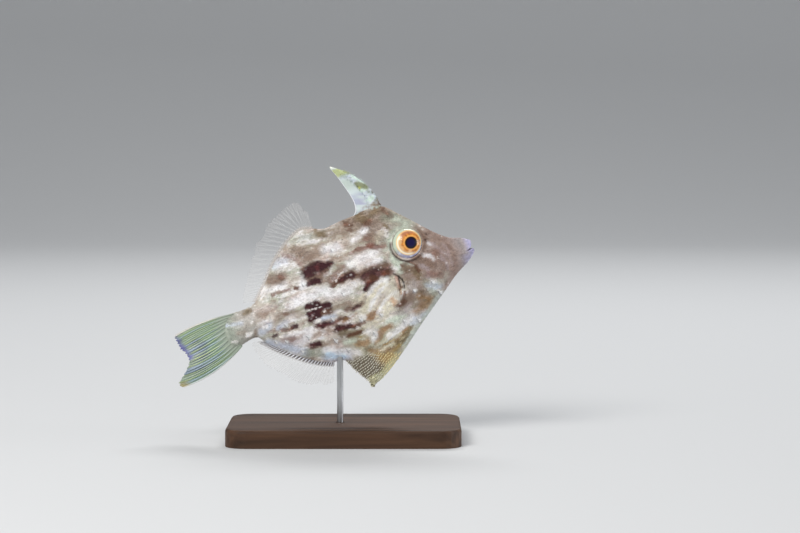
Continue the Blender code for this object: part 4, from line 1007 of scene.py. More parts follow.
def tassels_mesh():
    bm = bmesh.new()
    for x, z, height, half in CIRRI:
        spot, above = Vector(on_side(x, z)), Vector(on_side(x - 0.25 * height, z + 0.9 * height))
        for side in (-1.0, 1.0):
            foot = Vector((spot.x, -side * (spot.y + 0.15), spot.z))
            tip = Vector((above.x, -side * (above.y - 0.45 * height), above.z))
            tapered_pin(bm, foot, tip, *(half * flat for flat in TASSEL_FLAT))
            fork = Vector((foot.x + 0.28 * height, tip.y, 0.45 * foot.z + 0.55 * tip.z))
            tapered_pin(bm, foot.lerp(tip, 0.15), fork, *(half * flat for flat in FORK_FLAT))
    for x, z in curve_at(COMB_LINE, np.linspace(0.0, len(COMB_LINE) - 1.0, COMB_TEETH)):
        foot = Vector((x, 0.0, z)) + COMB_FOOT
        tip = foot + COMB_LEAN * (COMB_TOOTH + COMB_SUNK)
        tapered_pin(bm, foot, tip, COMB_TOOTH_HALF, COMB_TOOTH_HALF)
    return finished(bm, "cirri_and_comb", rounded=False)


def pale_tassel():
    finish, nodes, links, shader = new_finish("pale_tassel", {
        "Roughness": 0.5, "Subsurface Weight": 0.15,
        "Subsurface Radius": (0.0006, 0.0005, 0.0004), "Subsurface Scale": 1.0,
    })
    fine = grain_noise(nodes, links, 2200.0)
    two_tones(nodes, links, shader, fine, TASSEL_GREY, TASSEL_WHITE)
    return finish


mount("cirri_and_comb", tassels_mesh(), pale_tassel(), "skin")

# Eyes. Each is one flattened glass ball let into its socket and turned a little forward. The pupil, the gilt
# ring round it, the orange iris and the pale outer ring are painted on, under a clear wet gloss. Lavender
# painted shade lies over the bottom of the ball, with white painted highlights in it, and a pale painted
# highlight sits low on the iris.
EYE_MIDDLE = (54.7, 3.6, 7.3)
EYE_FORWARD = math.radians(14.0)
EYE_RADIUS, EYE_HALF_DEPTH = 4.3, 2.75
PUPIL, PUPIL_RADIUS = (55.85, 7.40), 1.58
IRIS, IRIS_RADIUS = (55.2, 7.6), 3.5
IRIS_PALE_TURN = math.radians(200.0)  # the way its pale side faces


def eye_colours(points):
    x, z = points[:, 0], points[:, 2]
    from_iris = np.hypot(x - IRIS[0], z - IRIS[1])
    from_pupil = np.hypot(x - PUPIL[0], z - PUPIL[1])
    turn = np.arctan2(z - PUPIL[1], x - PUPIL[0])
    spokes = cloud(np.stack([np.cos(turn) * 7.0, np.sin(turn) * 7.0, from_pupil * 0.5], 1), 1.0, 60, 3)
    patches = cloud(in_plane(x, z), 1.3, 64, 3)
    toward = np.arctan2(z - IRIS[1], x - IRIS[0])
    left = smooth(-0.1, 0.6, np.cos(toward - IRIS_PALE_TURN))
    low = smooth(0.0, -0.8, np.sin(toward))
    top = smooth(0.3, 0.9, np.sin(toward)) * smooth(2.2, 3.0, from_pupil)
    iris = coats(
        (196, 122, 50),
        ((124, 68, 32), 0.85 * smooth(0.0, 0.8, spokes)),
        ((146, 82, 34), 0.6 * smooth(0.0, 1.0, np.sin(4.6 * from_pupil + 1.5 * spokes))),
        ((220, 146, 60), 0.8 * smooth(0.1, 0.9, -spokes)),
        ((182, 124, 96), 0.7 * top),
        ((240, 178, 96), 0.75 * bell(from_pupil - 1.95, 0.26)),
        ((100, 56, 28), 0.6 * bell(np.hypot(x - 58.0, z - 7.1), 0.5)),
        ((230, 190, 134), 0.75 * left * smooth(2.3, 3.1, from_pupil + 0.3 * patches)),
        # painted highlight: a pale spot low on the iris
        ((236, 196, 160), 0.7 * bell(np.hypot(x - 54.9, z - 5.3), 0.5)),
        ((253, 248, 230), 0.95 * left * bell(from_iris - 3.15, 0.3)),
        ((248, 210, 148), 0.85 * bell(from_iris - IRIS_RADIUS + 0.12, 0.17)),
    )
    return coats(
        (190, 202, 182),
        # painted shade: lavender over the bottom of the ball, and on the next line white painted highlights
        # in it
        ((166, 162, 200), 0.85 * low),
        ((226, 230, 240), 0.7 * low * smooth(0.1, 0.7, patches)),
        (iris, smooth(IRIS_RADIUS + 0.12, IRIS_RADIUS - 0.06, from_iris)),
        ((20, 12, 14), smooth(PUPIL_RADIUS + 0.18, PUPIL_RADIUS + 0.02, from_pupil)),
        ((20, 12, 60), smooth(PUPIL_RADIUS - 0.1, 0.8, from_pupil)),
    )


def glass_ball(side):
    bm = bmesh.new()
    bmesh.ops.create_uvsphere(bm, u_segments=160, v_segments=96, radius=1.0)
    turn = Matrix.Rotation(side * -EYE_FORWARD, 4, "Z") @ Matrix.Rotation(math.radians(-90 * side), 4, "X")
    place = Matrix.Translation((EYE_MIDDLE[0], side * EYE_MIDDLE[1], EYE_MIDDLE[2])) @ turn
    shape = Matrix.Diagonal((EYE_RADIUS, EYE_RADIUS, EYE_HALF_DEPTH, 1.0))
    bmesh.ops.transform(bm, matrix=place @ shape, verts=bm.verts)
    mesh = finished(bm, "glass_eye")
    set_colours(mesh, "Iris", eye_colours(vertex_places(mesh)))
    return mesh


glass_surface = {"Roughness": 0.3, "Specular IOR Level": 0.2, "Coat Weight": 0.3, "Coat Roughness": 0.06}
glass = painted_finish("wet_glass", "Iris", glass_surface, 0.00002, 0.2, 4200.0)
for side, name, node in ((-1, "glass_eye_right", "eye_right"), (1, "glass_eye_left", "eye_left")):
    mount(name, glass_ball(side), glass, "eye", node)

# Dorsal spine. The stout first spine of the back, cast in hard resin and pinned upright over the eye. It is
# oval, bent backwards and rough, with a row of barbs down each rear corner. Its foot is tinted as the skin
# and the rest of it is mint white.
SPINE_LINE = ((49.2, 17.6), (49.1, 22.5), (47.6, 27.3), (44.8, 31.4), (41.2, 34.9))
SPINE_HALF_LENGTH, SPINE_HALF_WIDTH = (2.4, 0.16), (1.05, 0.14)
SPINE_SIDES, SPINE_RINGS, SPINE_ROUGH = 48, 150, 0.035
BARBS, BARB_SPAN, BARB_LENGTH, BARB_HALF = 10, (0.30, 0.82), 0.95, (0.2, 0.14)
BARB_BACK, BARB_DOWN, BARB_ASIDE = 0.6, 0.5, 0.55  # the way a barb points
BARB_SHRINK, BARB_REAR = 0.45, 1.1  # how they shrink towards the tip, and how far back they stand
BRISTLES, BRISTLE_SPAN, BRISTLE_HALF = 150, (0.12, 0.8), (0.075, 0.06)
BRISTLE_OUT, BRISTLE_UP, BRISTLE_SUNK = 0.16, 0.14, 0.06


def frame_along(line, place):
    """Points of a line in the middle plane, and the directions along it and square to it towards the head."""
    last = len(line) - 1
    here = curve_at(line, place * last)
    ahead, behind = (np.clip(place * last + gap, 0, last) for gap in (0.01, -0.01))
    step = curve_at(line, ahead) - curve_at(line, behind)
    step /= np.linalg.norm(step, axis=1, keepdims=True)
    return here, step, np.stack([step[:, 1], -step[:, 0]], 1)


def spine_colours(points):
    """The skin colours at the foot of the spine, then mint, olive spots and a yellow-green end."""
    x, z = points[:, 0], points[:, 2]
    here = in_plane(x, z)
    patches, specks = cloud(here, 1.5, 90, 3), cloud(here, 0.6, 94, 2)
    olive_band = 1.0 - smooth(0.5, 1.4, off_line(x, z, ((49.0, 26.2), (47.2, 27.6)))[0] + 0.4 * patches)
    front = bell(off_line(x, z, ((50.9, 21.0), (50.3, 24.4)))[0], 1.1)
    tip = smooth(30.6, 31.8, z + 0.3 * patches) * smooth(34.4, 33.4, z)
    foot = smooth(1.2, -0.9, z - 19.3 - 0.26 * (x - 45.0) + 1.2 * patches + 0.5 * specks)
    return coats(
        (198, 206, 214),
        ((206, 224, 214), smooth(-0.2, 0.7, patches)),
        ((168, 182, 176), 0.6 * smooth(0.1, 0.8, -patches)),
        ((118, 122, 78), 0.85 * olive_band),
        ((186, 194, 96), 0.85 * bell(np.hypot(x - 47.1, z - 26.5), 0.45)),
        ((112, 112, 96), 0.8 * front * smooth(-0.35, 0.4, specks)),
        ((176, 184, 122), 0.85 * tip),
        ((232, 236, 226), smooth(33.8, 34.6, z)),
        (markings(x, np.minimum(z, 18.5), -1), foot),
    )


def spine_body():
    bm = bmesh.new()
    flat = square_grid(bm, SPINE_SIDES, SPINE_RINGS)
    place = 0.5 + 0.5 * flat[:, 1]
    here, _, fore = frame_along(SPINE_LINE, place)
    turn = np.pi * flat[:, 0]
    round_it = np.stack([np.cos(turn) * 2, np.sin(turn) * 2, place * 40], 1)
    rough = 1.0 + SPINE_ROUGH * cloud(round_it, 1.0, 95, 2)
    blunt = np.sqrt(np.clip((1.0 - place) / 0.02, 0.0, 1.0))
    long_half = np.interp(place**0.9, (0.0, 1.0), SPINE_HALF_LENGTH) * rough * blunt
    wide_half = np.interp(place**0.9, (0.0, 1.0), SPINE_HALF_WIDTH) * rough * blunt
    groove = 1.0 - 0.25 * bell(np.cos(turn) + 1.0, 0.25)
    for vert, spot, f, lh, wh, t, g in zip(bm.verts, here, fore, long_half, wide_half, turn, groove):
        reach = math.cos(t) * lh * g
        vert.co = spot[0] + f[0] * reach, math.sin(t) * wh, spot[1] + f[1] * reach
    bmesh.ops.remove_doubles(bm, verts=bm.verts, dist=1e-4)
    bmesh.ops.holes_fill(bm, edges=[e for e in bm.edges if e.is_boundary])
    draw = random.Random(4)
    for side in (-1.0, 1.0):
        for index in range(BARBS):
            row = (index + draw.uniform(-0.2, 0.2)) / (BARBS - 1)
            share = BARB_SPAN[0] + (BARB_SPAN[1] - BARB_SPAN[0]) * row
            (spot,), (step,), (front,) = frame_along(SPINE_LINE, np.array([share]))
            size = 1.0 - BARB_SHRINK * share
            back = BARB_REAR * size
            foot = Vector((spot[0] - front[0] * back, side * BARB_ASIDE * size, spot[1] - front[1] * back))
            hook = -front * BARB_BACK - step * BARB_DOWN
            tip = foot + Vector((hook[0], side * BARB_ASIDE, hook[1])) * BARB_LENGTH * size
            tapered_pin(bm, foot, tip, *(size * half for half in BARB_HALF))
        for _ in range(BRISTLES):
            share = draw.uniform(*BRISTLE_SPAN)
            (spot,), (step,), (front,) = frame_along(SPINE_LINE, np.array([share]))
            size = 1.0 - 0.8 * share
            turn = draw.uniform(-0.42, 0.75) * math.pi
            reach = math.cos(turn) * SPINE_HALF_LENGTH[0] * size
            out = math.sin(abs(turn)) * SPINE_HALF_WIDTH[0] * size
            foot = Vector((spot[0] + front[0] * reach, side * out, spot[1] + front[1] * reach))
            away = Vector((front[0] * math.cos(turn), side * abs(math.sin(turn)), front[1] * math.cos(turn)))
            point = foot + away * BRISTLE_OUT + Vector((step[0], 0, step[1])) * BRISTLE_UP
            tapered_pin(bm, foot - away * BRISTLE_SUNK, point, *BRISTLE_HALF, 4)
    mesh = finished(bm, "barbed_spine")
    set_colours(mesh, "Markings", spine_colours(vertex_places(mesh)))
    return mesh


mount("barbed_spine", spine_body(), skin_finish, "spine", "dorsal_spine")

# Fins and the web behind the spine. Each is one thin clear membrane with its rays raised in it, forked and
# fading towards a frayed edge. They are cast in tinted clear resin and let into slots in the hide.
WEB_SUNK = 0.5  # how far the web is let into the spine at its foot
WEB_REAR = ((41.6, 18.9), (43.7, 20.4), (44.3, 22.6), (44.0, 25.4), (43.1, 28.8), (42.2, 31.8), (41.2, 34.4))
WEB_HALF, WEB_FOOT, WEB_BEAD = 0.16, 0.10, 0.07  # half its thickness, more at the spine and at its rear edge


def fin_sheet(name, columns, rows, point_at, half_at, colour_at):
    """A closed thin sheet whose two faces follow point_at, half_at to each side, thinning out to its rim."""
    bm = bmesh.new()
    tone = bm.verts.layers.float_color.new("Rays")
    across, out = 0.5 + 0.5 * square_grid(bm, columns, rows).T
    step = 1e-3
    here = point_at(across, out)
    side_run = point_at(np.minimum(across + step, 1.0), out) - point_at(np.maximum(across - step, 0.0), out)
    out_run = point_at(across, np.minimum(out + step, 1.0)) - point_at(across, np.maximum(out - step, 0.0))
    normal = np.cross(side_run, out_run)
    normal /= np.maximum(np.linalg.norm(normal, axis=1, keepdims=True), 1e-9)
    rim = np.minimum(np.minimum(across, 1 - across) * columns, np.minimum(out, 1 - out) * rows) < 0.5
    half = np.where(rim, 0.0, half_at(across, out))[:, None]
    colours = colour_at(across, out)
    near = list(bm.verts)
    for verts, sign in ((near, 1.0), (only_verts(doubled(bm)), -1.0)):
        for vert, point, colour in zip(verts, here + sign * half * normal, colours):
            vert.co = point
            vert[tone] = colour
    bmesh.ops.remove_doubles(bm, verts=[v for v in bm.verts if v.is_boundary], dist=1e-4)
    return finished(bm, name)


def ray_pattern(across, out, rays, forks, width=0.2):
    """How strongly a place lies on a ray, from 0 to 1. Rays fork where out passes each of the forks."""
    phase = across * rays
    near = phase - np.floor(phase) - 0.5
    for index, start in enumerate(forks):
        spread = 0.25 / 2**index * smooth(start, start + 0.45, out)
        near = np.abs(near) - spread
    return bell(near, width * (1.0 - 0.5 * out))


def clear_fin():
    finish, nodes, links, shader = new_finish("clear_fin", {"Roughness": 0.3, "Specular IOR Level": 0.4})
    coat = nodes.new("ShaderNodeAttribute")
    coat.attribute_name = "Rays"
    links.new(coat.outputs["Color"], shader.inputs["Base Color"])
    links.new(coat.outputs["Alpha"], shader.inputs["Alpha"])
    raise_grain(nodes, links, shader, grain_noise(nodes, links, 1500.0), 0.00003, 0.4)
    return finish


def see_through(colour, alpha):
    """Colours with how solid each place is."""
    return np.concatenate([colour, np.clip(alpha, 0.0, 1.0)[:, None]], 1)


def web_point(across, out):
    front, _, fore = frame_along(SPINE_LINE, 0.08 + 0.90 * across)
    front = front - fore * (WEB_SUNK * (1.0 - across))[:, None]
    rear = curve_at(WEB_REAR, across * (len(WEB_REAR) - 1))
    spot = front + (rear - front) * out[:, None]
    wave = 0.25 * np.sin(np.pi * out) * np.sin(5.0 * across + 1.0) * (1 - across)
    return np.stack([spot[:, 0], wave, spot[:, 1]], 1)


def web_half(across, out):
    return WEB_HALF + WEB_FOOT * (1.0 - out) + WEB_BEAD * bell(out - 0.95, 0.05)


def web_colours(across, out):
    spot = web_point(across, out)
    x, z = spot[:, 0], spot[:, 2]
    folds = cloud(in_plane(x * 0.4 + z * 0.9, x * 0.15), 1.3, 99, 2)
    bare = smooth(0.05, 0.35, out) * smooth(31.0, 29.5, z)
    lilac = smooth(0.0, 0.7, folds) * smooth(20.4, 21.6, z) * smooth(26.2, 24.6, z)
    sheen = coats(
        (216, 228, 229),
        ((236, 242, 248), smooth(0.0, 0.6, -folds)),
        ((180, 182, 208), 0.9 * lilac),
        ((176, 190, 172), 0.5 * smooth(26.0, 28.0, z) * smooth(-0.2, 0.5, folds)),
    )
    above_skin = smooth(19.5, 21.8, z + 0.25 * (46.0 - x) + 0.8 * folds)
    colour = coats(
        spine_colours(spot),
        (sheen, 0.9 * bare * above_skin),
        ((240, 242, 246), 0.85 * smooth(0.9, 0.96, out)),
    )
    return see_through(colour, 0.96 - 0.07 * bare)


fin_finish = clear_fin()
web = fin_sheet("spine_web", 120, 40, web_point, web_half, web_colours)
mount("spine_web", web, fin_finish, "spine", "dorsal_spine_web")

# Soft dorsal and anal fins. Long low fins on the rear back and belly, almost clear, with thirty rays above
# and twenty-eight below. The dark between the bases of the lower rays is painted shade.
MEMBRANE_HALF, RAY_RAISED = 0.07, 0.15
FIN_SUNK, FIN_FRINGE = 0.5, 0.3  # how far a fin is let into the body, and how far it runs past its rays
RAY_STRAY, RAY_NOTCH = 0.035, 0.06  # how uneven the rays are, and how far the edge dips between them
FIN_FORKS = (0.45,)
# foot: how strongly the membrane between the ray bases is darkened with painted shade
DORSAL = dict(edge=back_edge, up=1.0, rays=30, span=(9.85, 13.95), length=(4.8, 7.6, 3.4), peak=0.16,
              lean=(16, 44), wave=1.1, turns=1.4, foot=0.1, dark_to=1.2, solid=0.35)
ANAL = dict(edge=belly_edge, up=-1.0, rays=28, span=(10.75, 14.15), length=(5.4, 7.3, 3.2), peak=0.26,
            lean=(18, 52), wave=1.0, turns=1.3, foot=0.95, dark_to=1.9, solid=0.95)


def three_way(values, share, peak):
    """Rises from the first value to the middle one at the peak, then falls to the last."""
    first, top, last = values
    rise = first + (top - first) * np.sin(0.5 * np.pi * np.clip(share / peak, 0, 1))
    past = np.clip((share - peak) / (1 - peak), 0, 1)
    fall = last + (top - last) * np.maximum(0.0, np.cos(0.5 * np.pi * past)) ** 0.8
    return np.where(share < peak, rise, fall)


def long_fin(fin, seed):
    draw = np.random.default_rng(seed)
    ragged = 1.0 + RAY_STRAY * draw.normal(0.0, 1.0, fin["rays"])

    def reach_at(across, out):
        number = np.clip((across * fin["rays"]).astype(int), 0, fin["rays"] - 1)
        between = np.abs(np.sin(np.pi * across * fin["rays"]))
        length = three_way(fin["length"], across, fin["peak"]) * ragged[number]
        length = length * (1.0 - RAY_NOTCH * (1.0 - between))
        return (length + FIN_FRINGE + FIN_SUNK) * out - FIN_SUNK

    def point_at(across, out):
        place = fin["span"][0] + (fin["span"][1] - fin["span"][0]) * across
        foot = fin["edge"](place)
        run = fin["edge"](place + 0.05) - fin["edge"](place - 0.05)
        run /= np.linalg.norm(run, axis=1, keepdims=True)
        square = np.stack([fin["up"] * run[:, 1], -fin["up"] * run[:, 0]], 1)
        lean = np.radians(fin["lean"][0] + (fin["lean"][1] - fin["lean"][0]) * across)[:, None]
        ray = square * np.cos(lean) + run * np.sin(lean)
        spot = foot + ray * reach_at(across, out)[:, None]
        wave = fin["wave"] * out**1.3 * np.sin(2 * np.pi * (fin["turns"] * across + 0.15 * out))
        return np.stack([spot[:, 0], wave, spot[:, 1]], 1)

    def half_at(across, out):
        rays = ray_pattern(across, out, fin["rays"], FIN_FORKS)
        joints = 1.0 + 0.12 * np.sin(out * 90.0) * smooth(0.3, 0.6, out)
        ridge = RAY_RAISED * rays * (1.05 - 0.75 * out) * joints
        return MEMBRANE_HALF + ridge + 0.12 * smooth(0.12, 0.0, out)

    def colour_at(across, out):
        rays = ray_pattern(across, out, fin["rays"], FIN_FORKS)
        base = smooth(fin["dark_to"] * (0.75 + 0.5 * across), 0.5, reach_at(across, out))
        colour = coats(
            (196, 190, 186),
            ((226, 228, 226), rays),
            # painted shade between the ray bases at the fin's foot
            ((52, 38, 40), fin["foot"] * base * (1.0 - rays)),
            ((222, 226, 236), base * rays),
            ((200, 192, 184), (1.0 - fin["foot"]) * base),
        )
        return see_through(colour, 0.045 + 0.16 * rays * (1.0 - 0.4 * out) + fin["solid"] * base)

    return point_at, half_at, colour_at


dorsal_sheet = fin_sheet("dorsal", 300, 30, *long_fin(DORSAL, 5))
mount("rayed_dorsal_fin", dorsal_sheet, fin_finish, "fin", "soft_dorsal_fin")
mount("rayed_anal_fin", fin_sheet("anal", 280, 30, *long_fin(ANAL, 6)), fin_finish, "fin", "anal_fin")

# Tail fin. Twelve rays that fork twice fan out of the tail stalk. Pale green and milky at the root, it
# turns to yellow-green rays with slate between them, violet along the frayed upper edge and ochre at the
# lower tip.
TAIL_START = ((1.8, 4.8), (0.6, 3.8), (-0.5, 2.0), (-0.9, -0.9), (0.1, -3.3), (1.0, -4.7))
TAIL_EDGE = (
    (-16.5, 4.4), (-16.4, 3.3), (-16.3, 2.2), (-16.1, 1.1), (-15.9, 0.0), (-15.1, -1.0), (-14.8, -2.3),
    (-14.7, -3.5), (-15.5, -4.9), (-16.9, -6.3), (-18.4, -7.6), (-19.6, -8.8), (-18.9, -10.3),
)
TAIL_BOW = (0.9, -1.6)
TAIL_RAYS, TAIL_FORKS, TAIL_RAY_WIDTH = 12, (0.06, 0.6), 0.13
TAIL_FRAY, TAIL_WEAR = 0.018, 0.01  # how deep its edge is frayed between the rays, and worn here and there
TAIL_HALF = 0.14  # half its thickness, and how much more it is at its foot, its rays and its rims
TAIL_FOOT, TAIL_RAISED, TAIL_RIM = 0.30, 0.2, 0.12


def tail_point(across, out):
    start = curve_at(TAIL_START, across * (len(TAIL_START) - 1))
    end = curve_at(TAIL_EDGE, across * (len(TAIL_EDGE) - 1))
    fringe = np.abs(np.sin(np.pi * across * TAIL_RAYS * 2)) ** 0.6
    end = end + (start - end) * (TAIL_FRAY * (1.0 - fringe) + TAIL_WEAR * np.sin(across * 97.0))[:, None]
    spot = start + (end - start) * out[:, None]
    bow = (TAIL_BOW[0] + (TAIL_BOW[1] - TAIL_BOW[0]) * across) * 4.0 * out * (1.0 - out)
    wave = 0.9 * out**2 * np.sin(np.pi * (1.5 * across + 0.2)) + 0.12 * out * np.sin(across * 40.0)
    return np.stack([spot[:, 0], wave, spot[:, 1] + bow], 1)


def tail_half(across, out):
    rays = ray_pattern(across, out, TAIL_RAYS, TAIL_FORKS, TAIL_RAY_WIDTH)
    joints = 1.0 + 0.10 * np.sin(out * 150.0) * smooth(0.25, 0.5, out)
    edges = bell(across, 0.02) + bell(across - 1.0, 0.02)
    plain = TAIL_HALF + TAIL_FOOT * smooth(0.22, 0.0, out)
    return plain + TAIL_RAISED * rays * (1.05 - 0.7 * out) * joints + TAIL_RIM * edges


def tail_colours(across, out):
    spot = tail_point(across, out)
    rays = ray_pattern(across, out, TAIL_RAYS, TAIL_FORKS, TAIL_RAY_WIDTH)
    number = np.floor(across * TAIL_RAYS * 2)
    warm = smooth(-0.1, 0.6, np.sin(number * 2.4 + 0.6) + 0.5 * smooth(0.35, 0.1, across))
    drift = cloud(in_plane(spot[:, 0], spot[:, 2]) * (0.3, 1.0, 1.0), 1.8, 70, 3)
    slate = smooth(0.3, 0.7, out + 0.25 * drift) * smooth(0.15, 0.35, across) * smooth(0.95, 0.8, across)
    yellow = rays * (np.sin(number * 5.1) > 0.72) * smooth(0.2, 0.5, out)
    upper = smooth(0.64, 0.54, across) * smooth(0.88, 0.99, out + 0.07 * drift)
    lower = smooth(0.86, 0.96, across) * smooth(0.82, 0.97, out)
    colour = coats(
        (112, 138, 118),
        ((130, 148, 104), 0.6 * smooth(0.1, 0.7, drift)),
        ((86, 94, 116), 0.8 * slate),
        (over((176, 196, 212), (176, 196, 142), warm), 0.85 * rays * smooth(0.02, 0.25, out)),
        ((186, 202, 120), 0.6 * yellow),
        ((150, 168, 134), 0.35 * smooth(0.4, 0.2, across + 0.1 * drift)),
        ((96, 92, 168), 0.8 * upper),
        ((178, 160, 92), 0.8 * lower),
        ((226, 222, 216), 0.85 * (bell(across, 0.03) + bell(across - 1.0, 0.024))),
        ((158, 168, 154), 0.9 * smooth(0.40, 0.08, out + 0.08 * drift)),
    )
    return see_through(colour, 0.95 - 0.2 * smooth(0.4, 1.0, out) * (1.0 - rays))


tail_sheet = fin_sheet("tail", 288, 84, tail_point, tail_half, tail_colours)
mount("rayed_tail_fin", tail_sheet, fin_finish, "fin", "tail_fin")

# Pectoral fins. A small clear fan of eleven rays behind each gill slit, standing off the flank from its
# fleshy root.
PECTORAL_RAYS, PECTORAL_FORKS = 11, (0.4,)
PECTORAL_LENGTH, PECTORAL_PEAK, PECTORAL_NOTCH = (4.6, 7.4, 4.4), 0.45, 0.05
PECTORAL_SUNK, PECTORAL_HALF, PECTORAL_RAISED = 0.25, 0.06, 0.11
PECTORAL_FAN = (math.radians(8), math.radians(78))
PECTORAL_OUT = math.radians(38)


def pectoral_sheet(side):
    def point_at(across, out):
        foot = curve_at(PECTORAL_ROOT, across * (len(PECTORAL_ROOT) - 1))
        down = PECTORAL_FAN[0] + (PECTORAL_FAN[1] - PECTORAL_FAN[0]) * across
        between = np.abs(np.sin(np.pi * across * PECTORAL_RAYS))
        length = three_way(PECTORAL_LENGTH, across, PECTORAL_PEAK) * (1.0 - PECTORAL_NOTCH * (1.0 - between))
        flat_run = length * out * math.cos(PECTORAL_OUT)
        cup = 0.5 * np.sin(np.pi * across) * out + 0.2 * np.sin(across * 14.0) * out**2
        stands = length * out * math.sin(PECTORAL_OUT) * (1.15 - 0.3 * out) - cup
        y = side * (pectoral_foot - PECTORAL_SUNK + stands)
        return np.stack([foot[:, 0] - flat_run * np.cos(down), y, foot[:, 1] - flat_run * np.sin(down)], 1)

    def half_at(across, out):
        rays = ray_pattern(across, out, PECTORAL_RAYS, PECTORAL_FORKS)
        return PECTORAL_HALF + PECTORAL_RAISED * rays * (1.1 - 0.7 * out)

    def colour_at(across, out):
        rays = ray_pattern(across, out, PECTORAL_RAYS, PECTORAL_FORKS)
        base = smooth(0.2, 0.02, out)
        colour = coats((206, 204, 196), ((228, 224, 206), rays), ((210, 176, 156), base))
        return see_through(colour, 0.08 + 0.34 * rays * (1.0 - 0.4 * out) + 0.6 * base)

    return fin_sheet("pectoral", 110, 30, point_at, half_at, colour_at)


pectoral_foot = -on_side(*PECTORAL_ROOT[1])[1]
for side, name, node in (
    (-1, "rayed_pectoral_fin_right", "pectoral_fin_right"),
    (1, "rayed_pectoral_fin_left", "pectoral_fin_left"),
):
    mount(name, pectoral_sheet(side), fin_finish, "fin", node)

# Pelvic knob. The stub of the pelvic fins at the lowest point of the flap, a blunt yellow-green peg covered
# in small stiff bristles, pinned to the end of the flap.
KNOB_ROOT, KNOB_TIP = Vector((32.9, 0.0, -25.2)), Vector((32.0, 0.0, -27.9))
KNOB_HALF, KNOB_SIDES, KNOB_EASE = (1.25, 0.85), 16, 0.12
KNOB_BRISTLES, KNOB_BRISTLE_HALF = 170, (0.16, 0.12)
KNOB_TURN = 2.4  # from one bristle to the next round it, in radians
KNOB_DARK, KNOB_PALE = (0.10, 0.08, 0.03, 1.0), (0.80, 0.78, 0.54, 1.0)


def knob_mesh():
    bm = bmesh.new()
    tapered_pin(bm, KNOB_ROOT, KNOB_TIP, *KNOB_HALF, KNOB_SIDES)
    bmesh.ops.bevel(
        bm, geom=bm.edges[:], offset=KNOB_EASE, offset_type="OFFSET", segments=2, profile=0.5,
        affect="EDGES", material=-1,
    )
    draw = random.Random(8)
    run = (KNOB_TIP - KNOB_ROOT).normalized()
    for index in range(KNOB_BRISTLES):
        share, turn = (index + 0.5) / KNOB_BRISTLES, index * KNOB_TURN
        out = Vector((1, 0, 0)).cross(run).normalized() * math.sin(turn) * 0.8
        out += run.cross(Vector((0, 1, 0))).normalized() * math.cos(turn)
        foot = KNOB_ROOT.lerp(KNOB_TIP, share) + out * (0.85 - 0.65 * share)
        aim = (out * draw.uniform(0.25, 0.9) + run * draw.uniform(0.4, 0.9)).normalized()
        long = draw.uniform(0.4, 1.3) * (1.0 - 0.6 * share)
        tapered_pin(bm, foot - aim * 0.1, foot + aim * long, *KNOB_BRISTLE_HALF, 5)
    return finished(bm, "pelvic_knob", rounded=False)


def knob_finish():
    finish, nodes, links, shader = new_finish("pelvic_knob", {"Roughness": 0.5})
    fine = grain_noise(nodes, links, 2100.0, 2.0)
    two_tones(nodes, links, shader, fine, KNOB_DARK, KNOB_PALE, 0.36, 0.56)
    raise_grain(nodes, links, shader, fine, 0.0001, 0.4)
    return finish


mount("pelvic_knob", knob_mesh(), knob_finish(), "spine", "pelvic_spine")

# Studio. A pale sweep that is floor and backdrop in one, a large soft key light from the upper left, a
# weaker fill from the right and a strip behind. The camera looks square at the fish's right side, a little
# from above.
FRAME_CENTRE = Vector((15.8, 0.0, 49.3)) * MM
FRAME_WIDTH = 226.4 * MM
LENS, SENSOR = 110.0, 36.0
CAMERA_UP = math.radians(4.0)
# the sweep in metres: its left end, front edge, the place and radius of its bend, its rise and its width
SWEEP_LEFT, SWEEP_FRONT, SWEEP_BEND, SWEEP_RADIUS, SWEEP_RISE, SWEEP_WIDTH = -3.0, -2.2, 0.9, 0.8, 2.0, 6.0
LAMPS = (
    ("key", (-0.42, -0.62, 0.62), (0.42, 0.34), 7.6, (1.0, 0.98, 0.95)),
    ("fill", (1.1, -0.16, 0.2), (0.5, 0.4), 5.0, (0.95, 0.97, 1.0)),
    ("strip", (0.1, 0.6, 0.75), (0.7, 0.25), 4.5, (1.0, 1.0, 1.0)),
)

ROOM_TINT, ROOM_LIGHT = (0.9, 0.92, 0.95, 1.0), 0.35


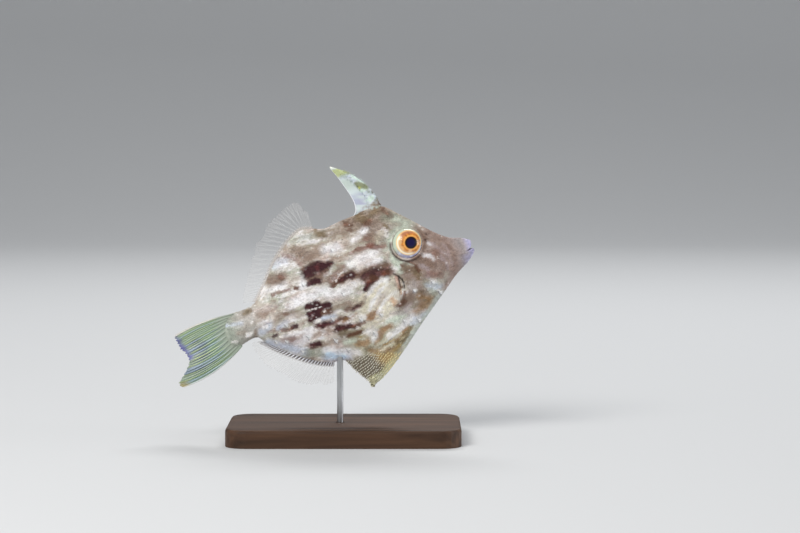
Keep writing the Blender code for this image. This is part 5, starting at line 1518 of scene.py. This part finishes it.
def paper_sweep():
    bm = bmesh.new()
    front = bm.verts.new((SWEEP_LEFT, SWEEP_FRONT, 0.0))
    corner = bmesh.ops.extrude_vert_indiv(bm, verts=[front])["verts"][0]
    corner.co.y = SWEEP_BEND
    curve = bmesh.ops.spin(
        bm, geom=[corner], cent=(SWEEP_LEFT, SWEEP_BEND, SWEEP_RADIUS), axis=(1, 0, 0),
        angle=math.pi / 2, steps=24,
    )
    top = only_verts(curve["geom_last"])
    bmesh.ops.extrude_vert_indiv(bm, verts=top)["verts"][0].co.z += SWEEP_RISE
    wide = only_verts(bmesh.ops.extrude_edge_only(bm, edges=bm.edges[:])["geom"])
    bmesh.ops.translate(bm, verts=wide, vec=(SWEEP_WIDTH, 0.0, 0.0))
    mesh = finished(bm, "paper_sweep")
    paper = {"Base Color": (0.60, 0.61, 0.62, 1.0), "Roughness": 0.9}
    mesh.materials.append(new_finish("grey_paper", paper)[0])
    sweep = bpy.data.objects.new("paper_sweep", mesh)
    bpy.context.scene.collection.objects.link(sweep)


def soft_light(name, place, size, power, tint):
    lamp = bpy.data.lights.new(name, "AREA")
    lamp.shape = "RECTANGLE"
    lamp.size, lamp.size_y = size
    lamp.energy = power
    lamp.color = tint
    held = bpy.data.objects.new(name, lamp)
    held.location = place
    held.rotation_euler = (FRAME_CENTRE - Vector(place)).to_track_quat("-Z", "Y").to_euler()
    bpy.context.scene.collection.objects.link(held)


paper_sweep()
for lamp_row in LAMPS:
    soft_light(*lamp_row)

world = bpy.data.worlds.new("studio")
world.use_nodes = True
world.node_tree.nodes["Background"].inputs["Color"].default_value = ROOM_TINT
world.node_tree.nodes["Background"].inputs["Strength"].default_value = ROOM_LIGHT
bpy.context.scene.world = world
bpy.context.scene.view_settings.view_transform = "Standard"

camera = bpy.data.objects.new("camera", bpy.data.cameras.new("camera"))
camera.data.lens = LENS
camera.data.sensor_width = SENSOR
camera.data.clip_end = 20.0
away = FRAME_WIDTH * LENS / SENSOR
camera.location = FRAME_CENTRE + away * Vector((0.0, -math.cos(CAMERA_UP), math.sin(CAMERA_UP)))
camera.rotation_euler = (FRAME_CENTRE - camera.location).to_track_quat("-Z", "Y").to_euler()
bpy.context.scene.collection.objects.link(camera)
bpy.context.scene.camera = camera
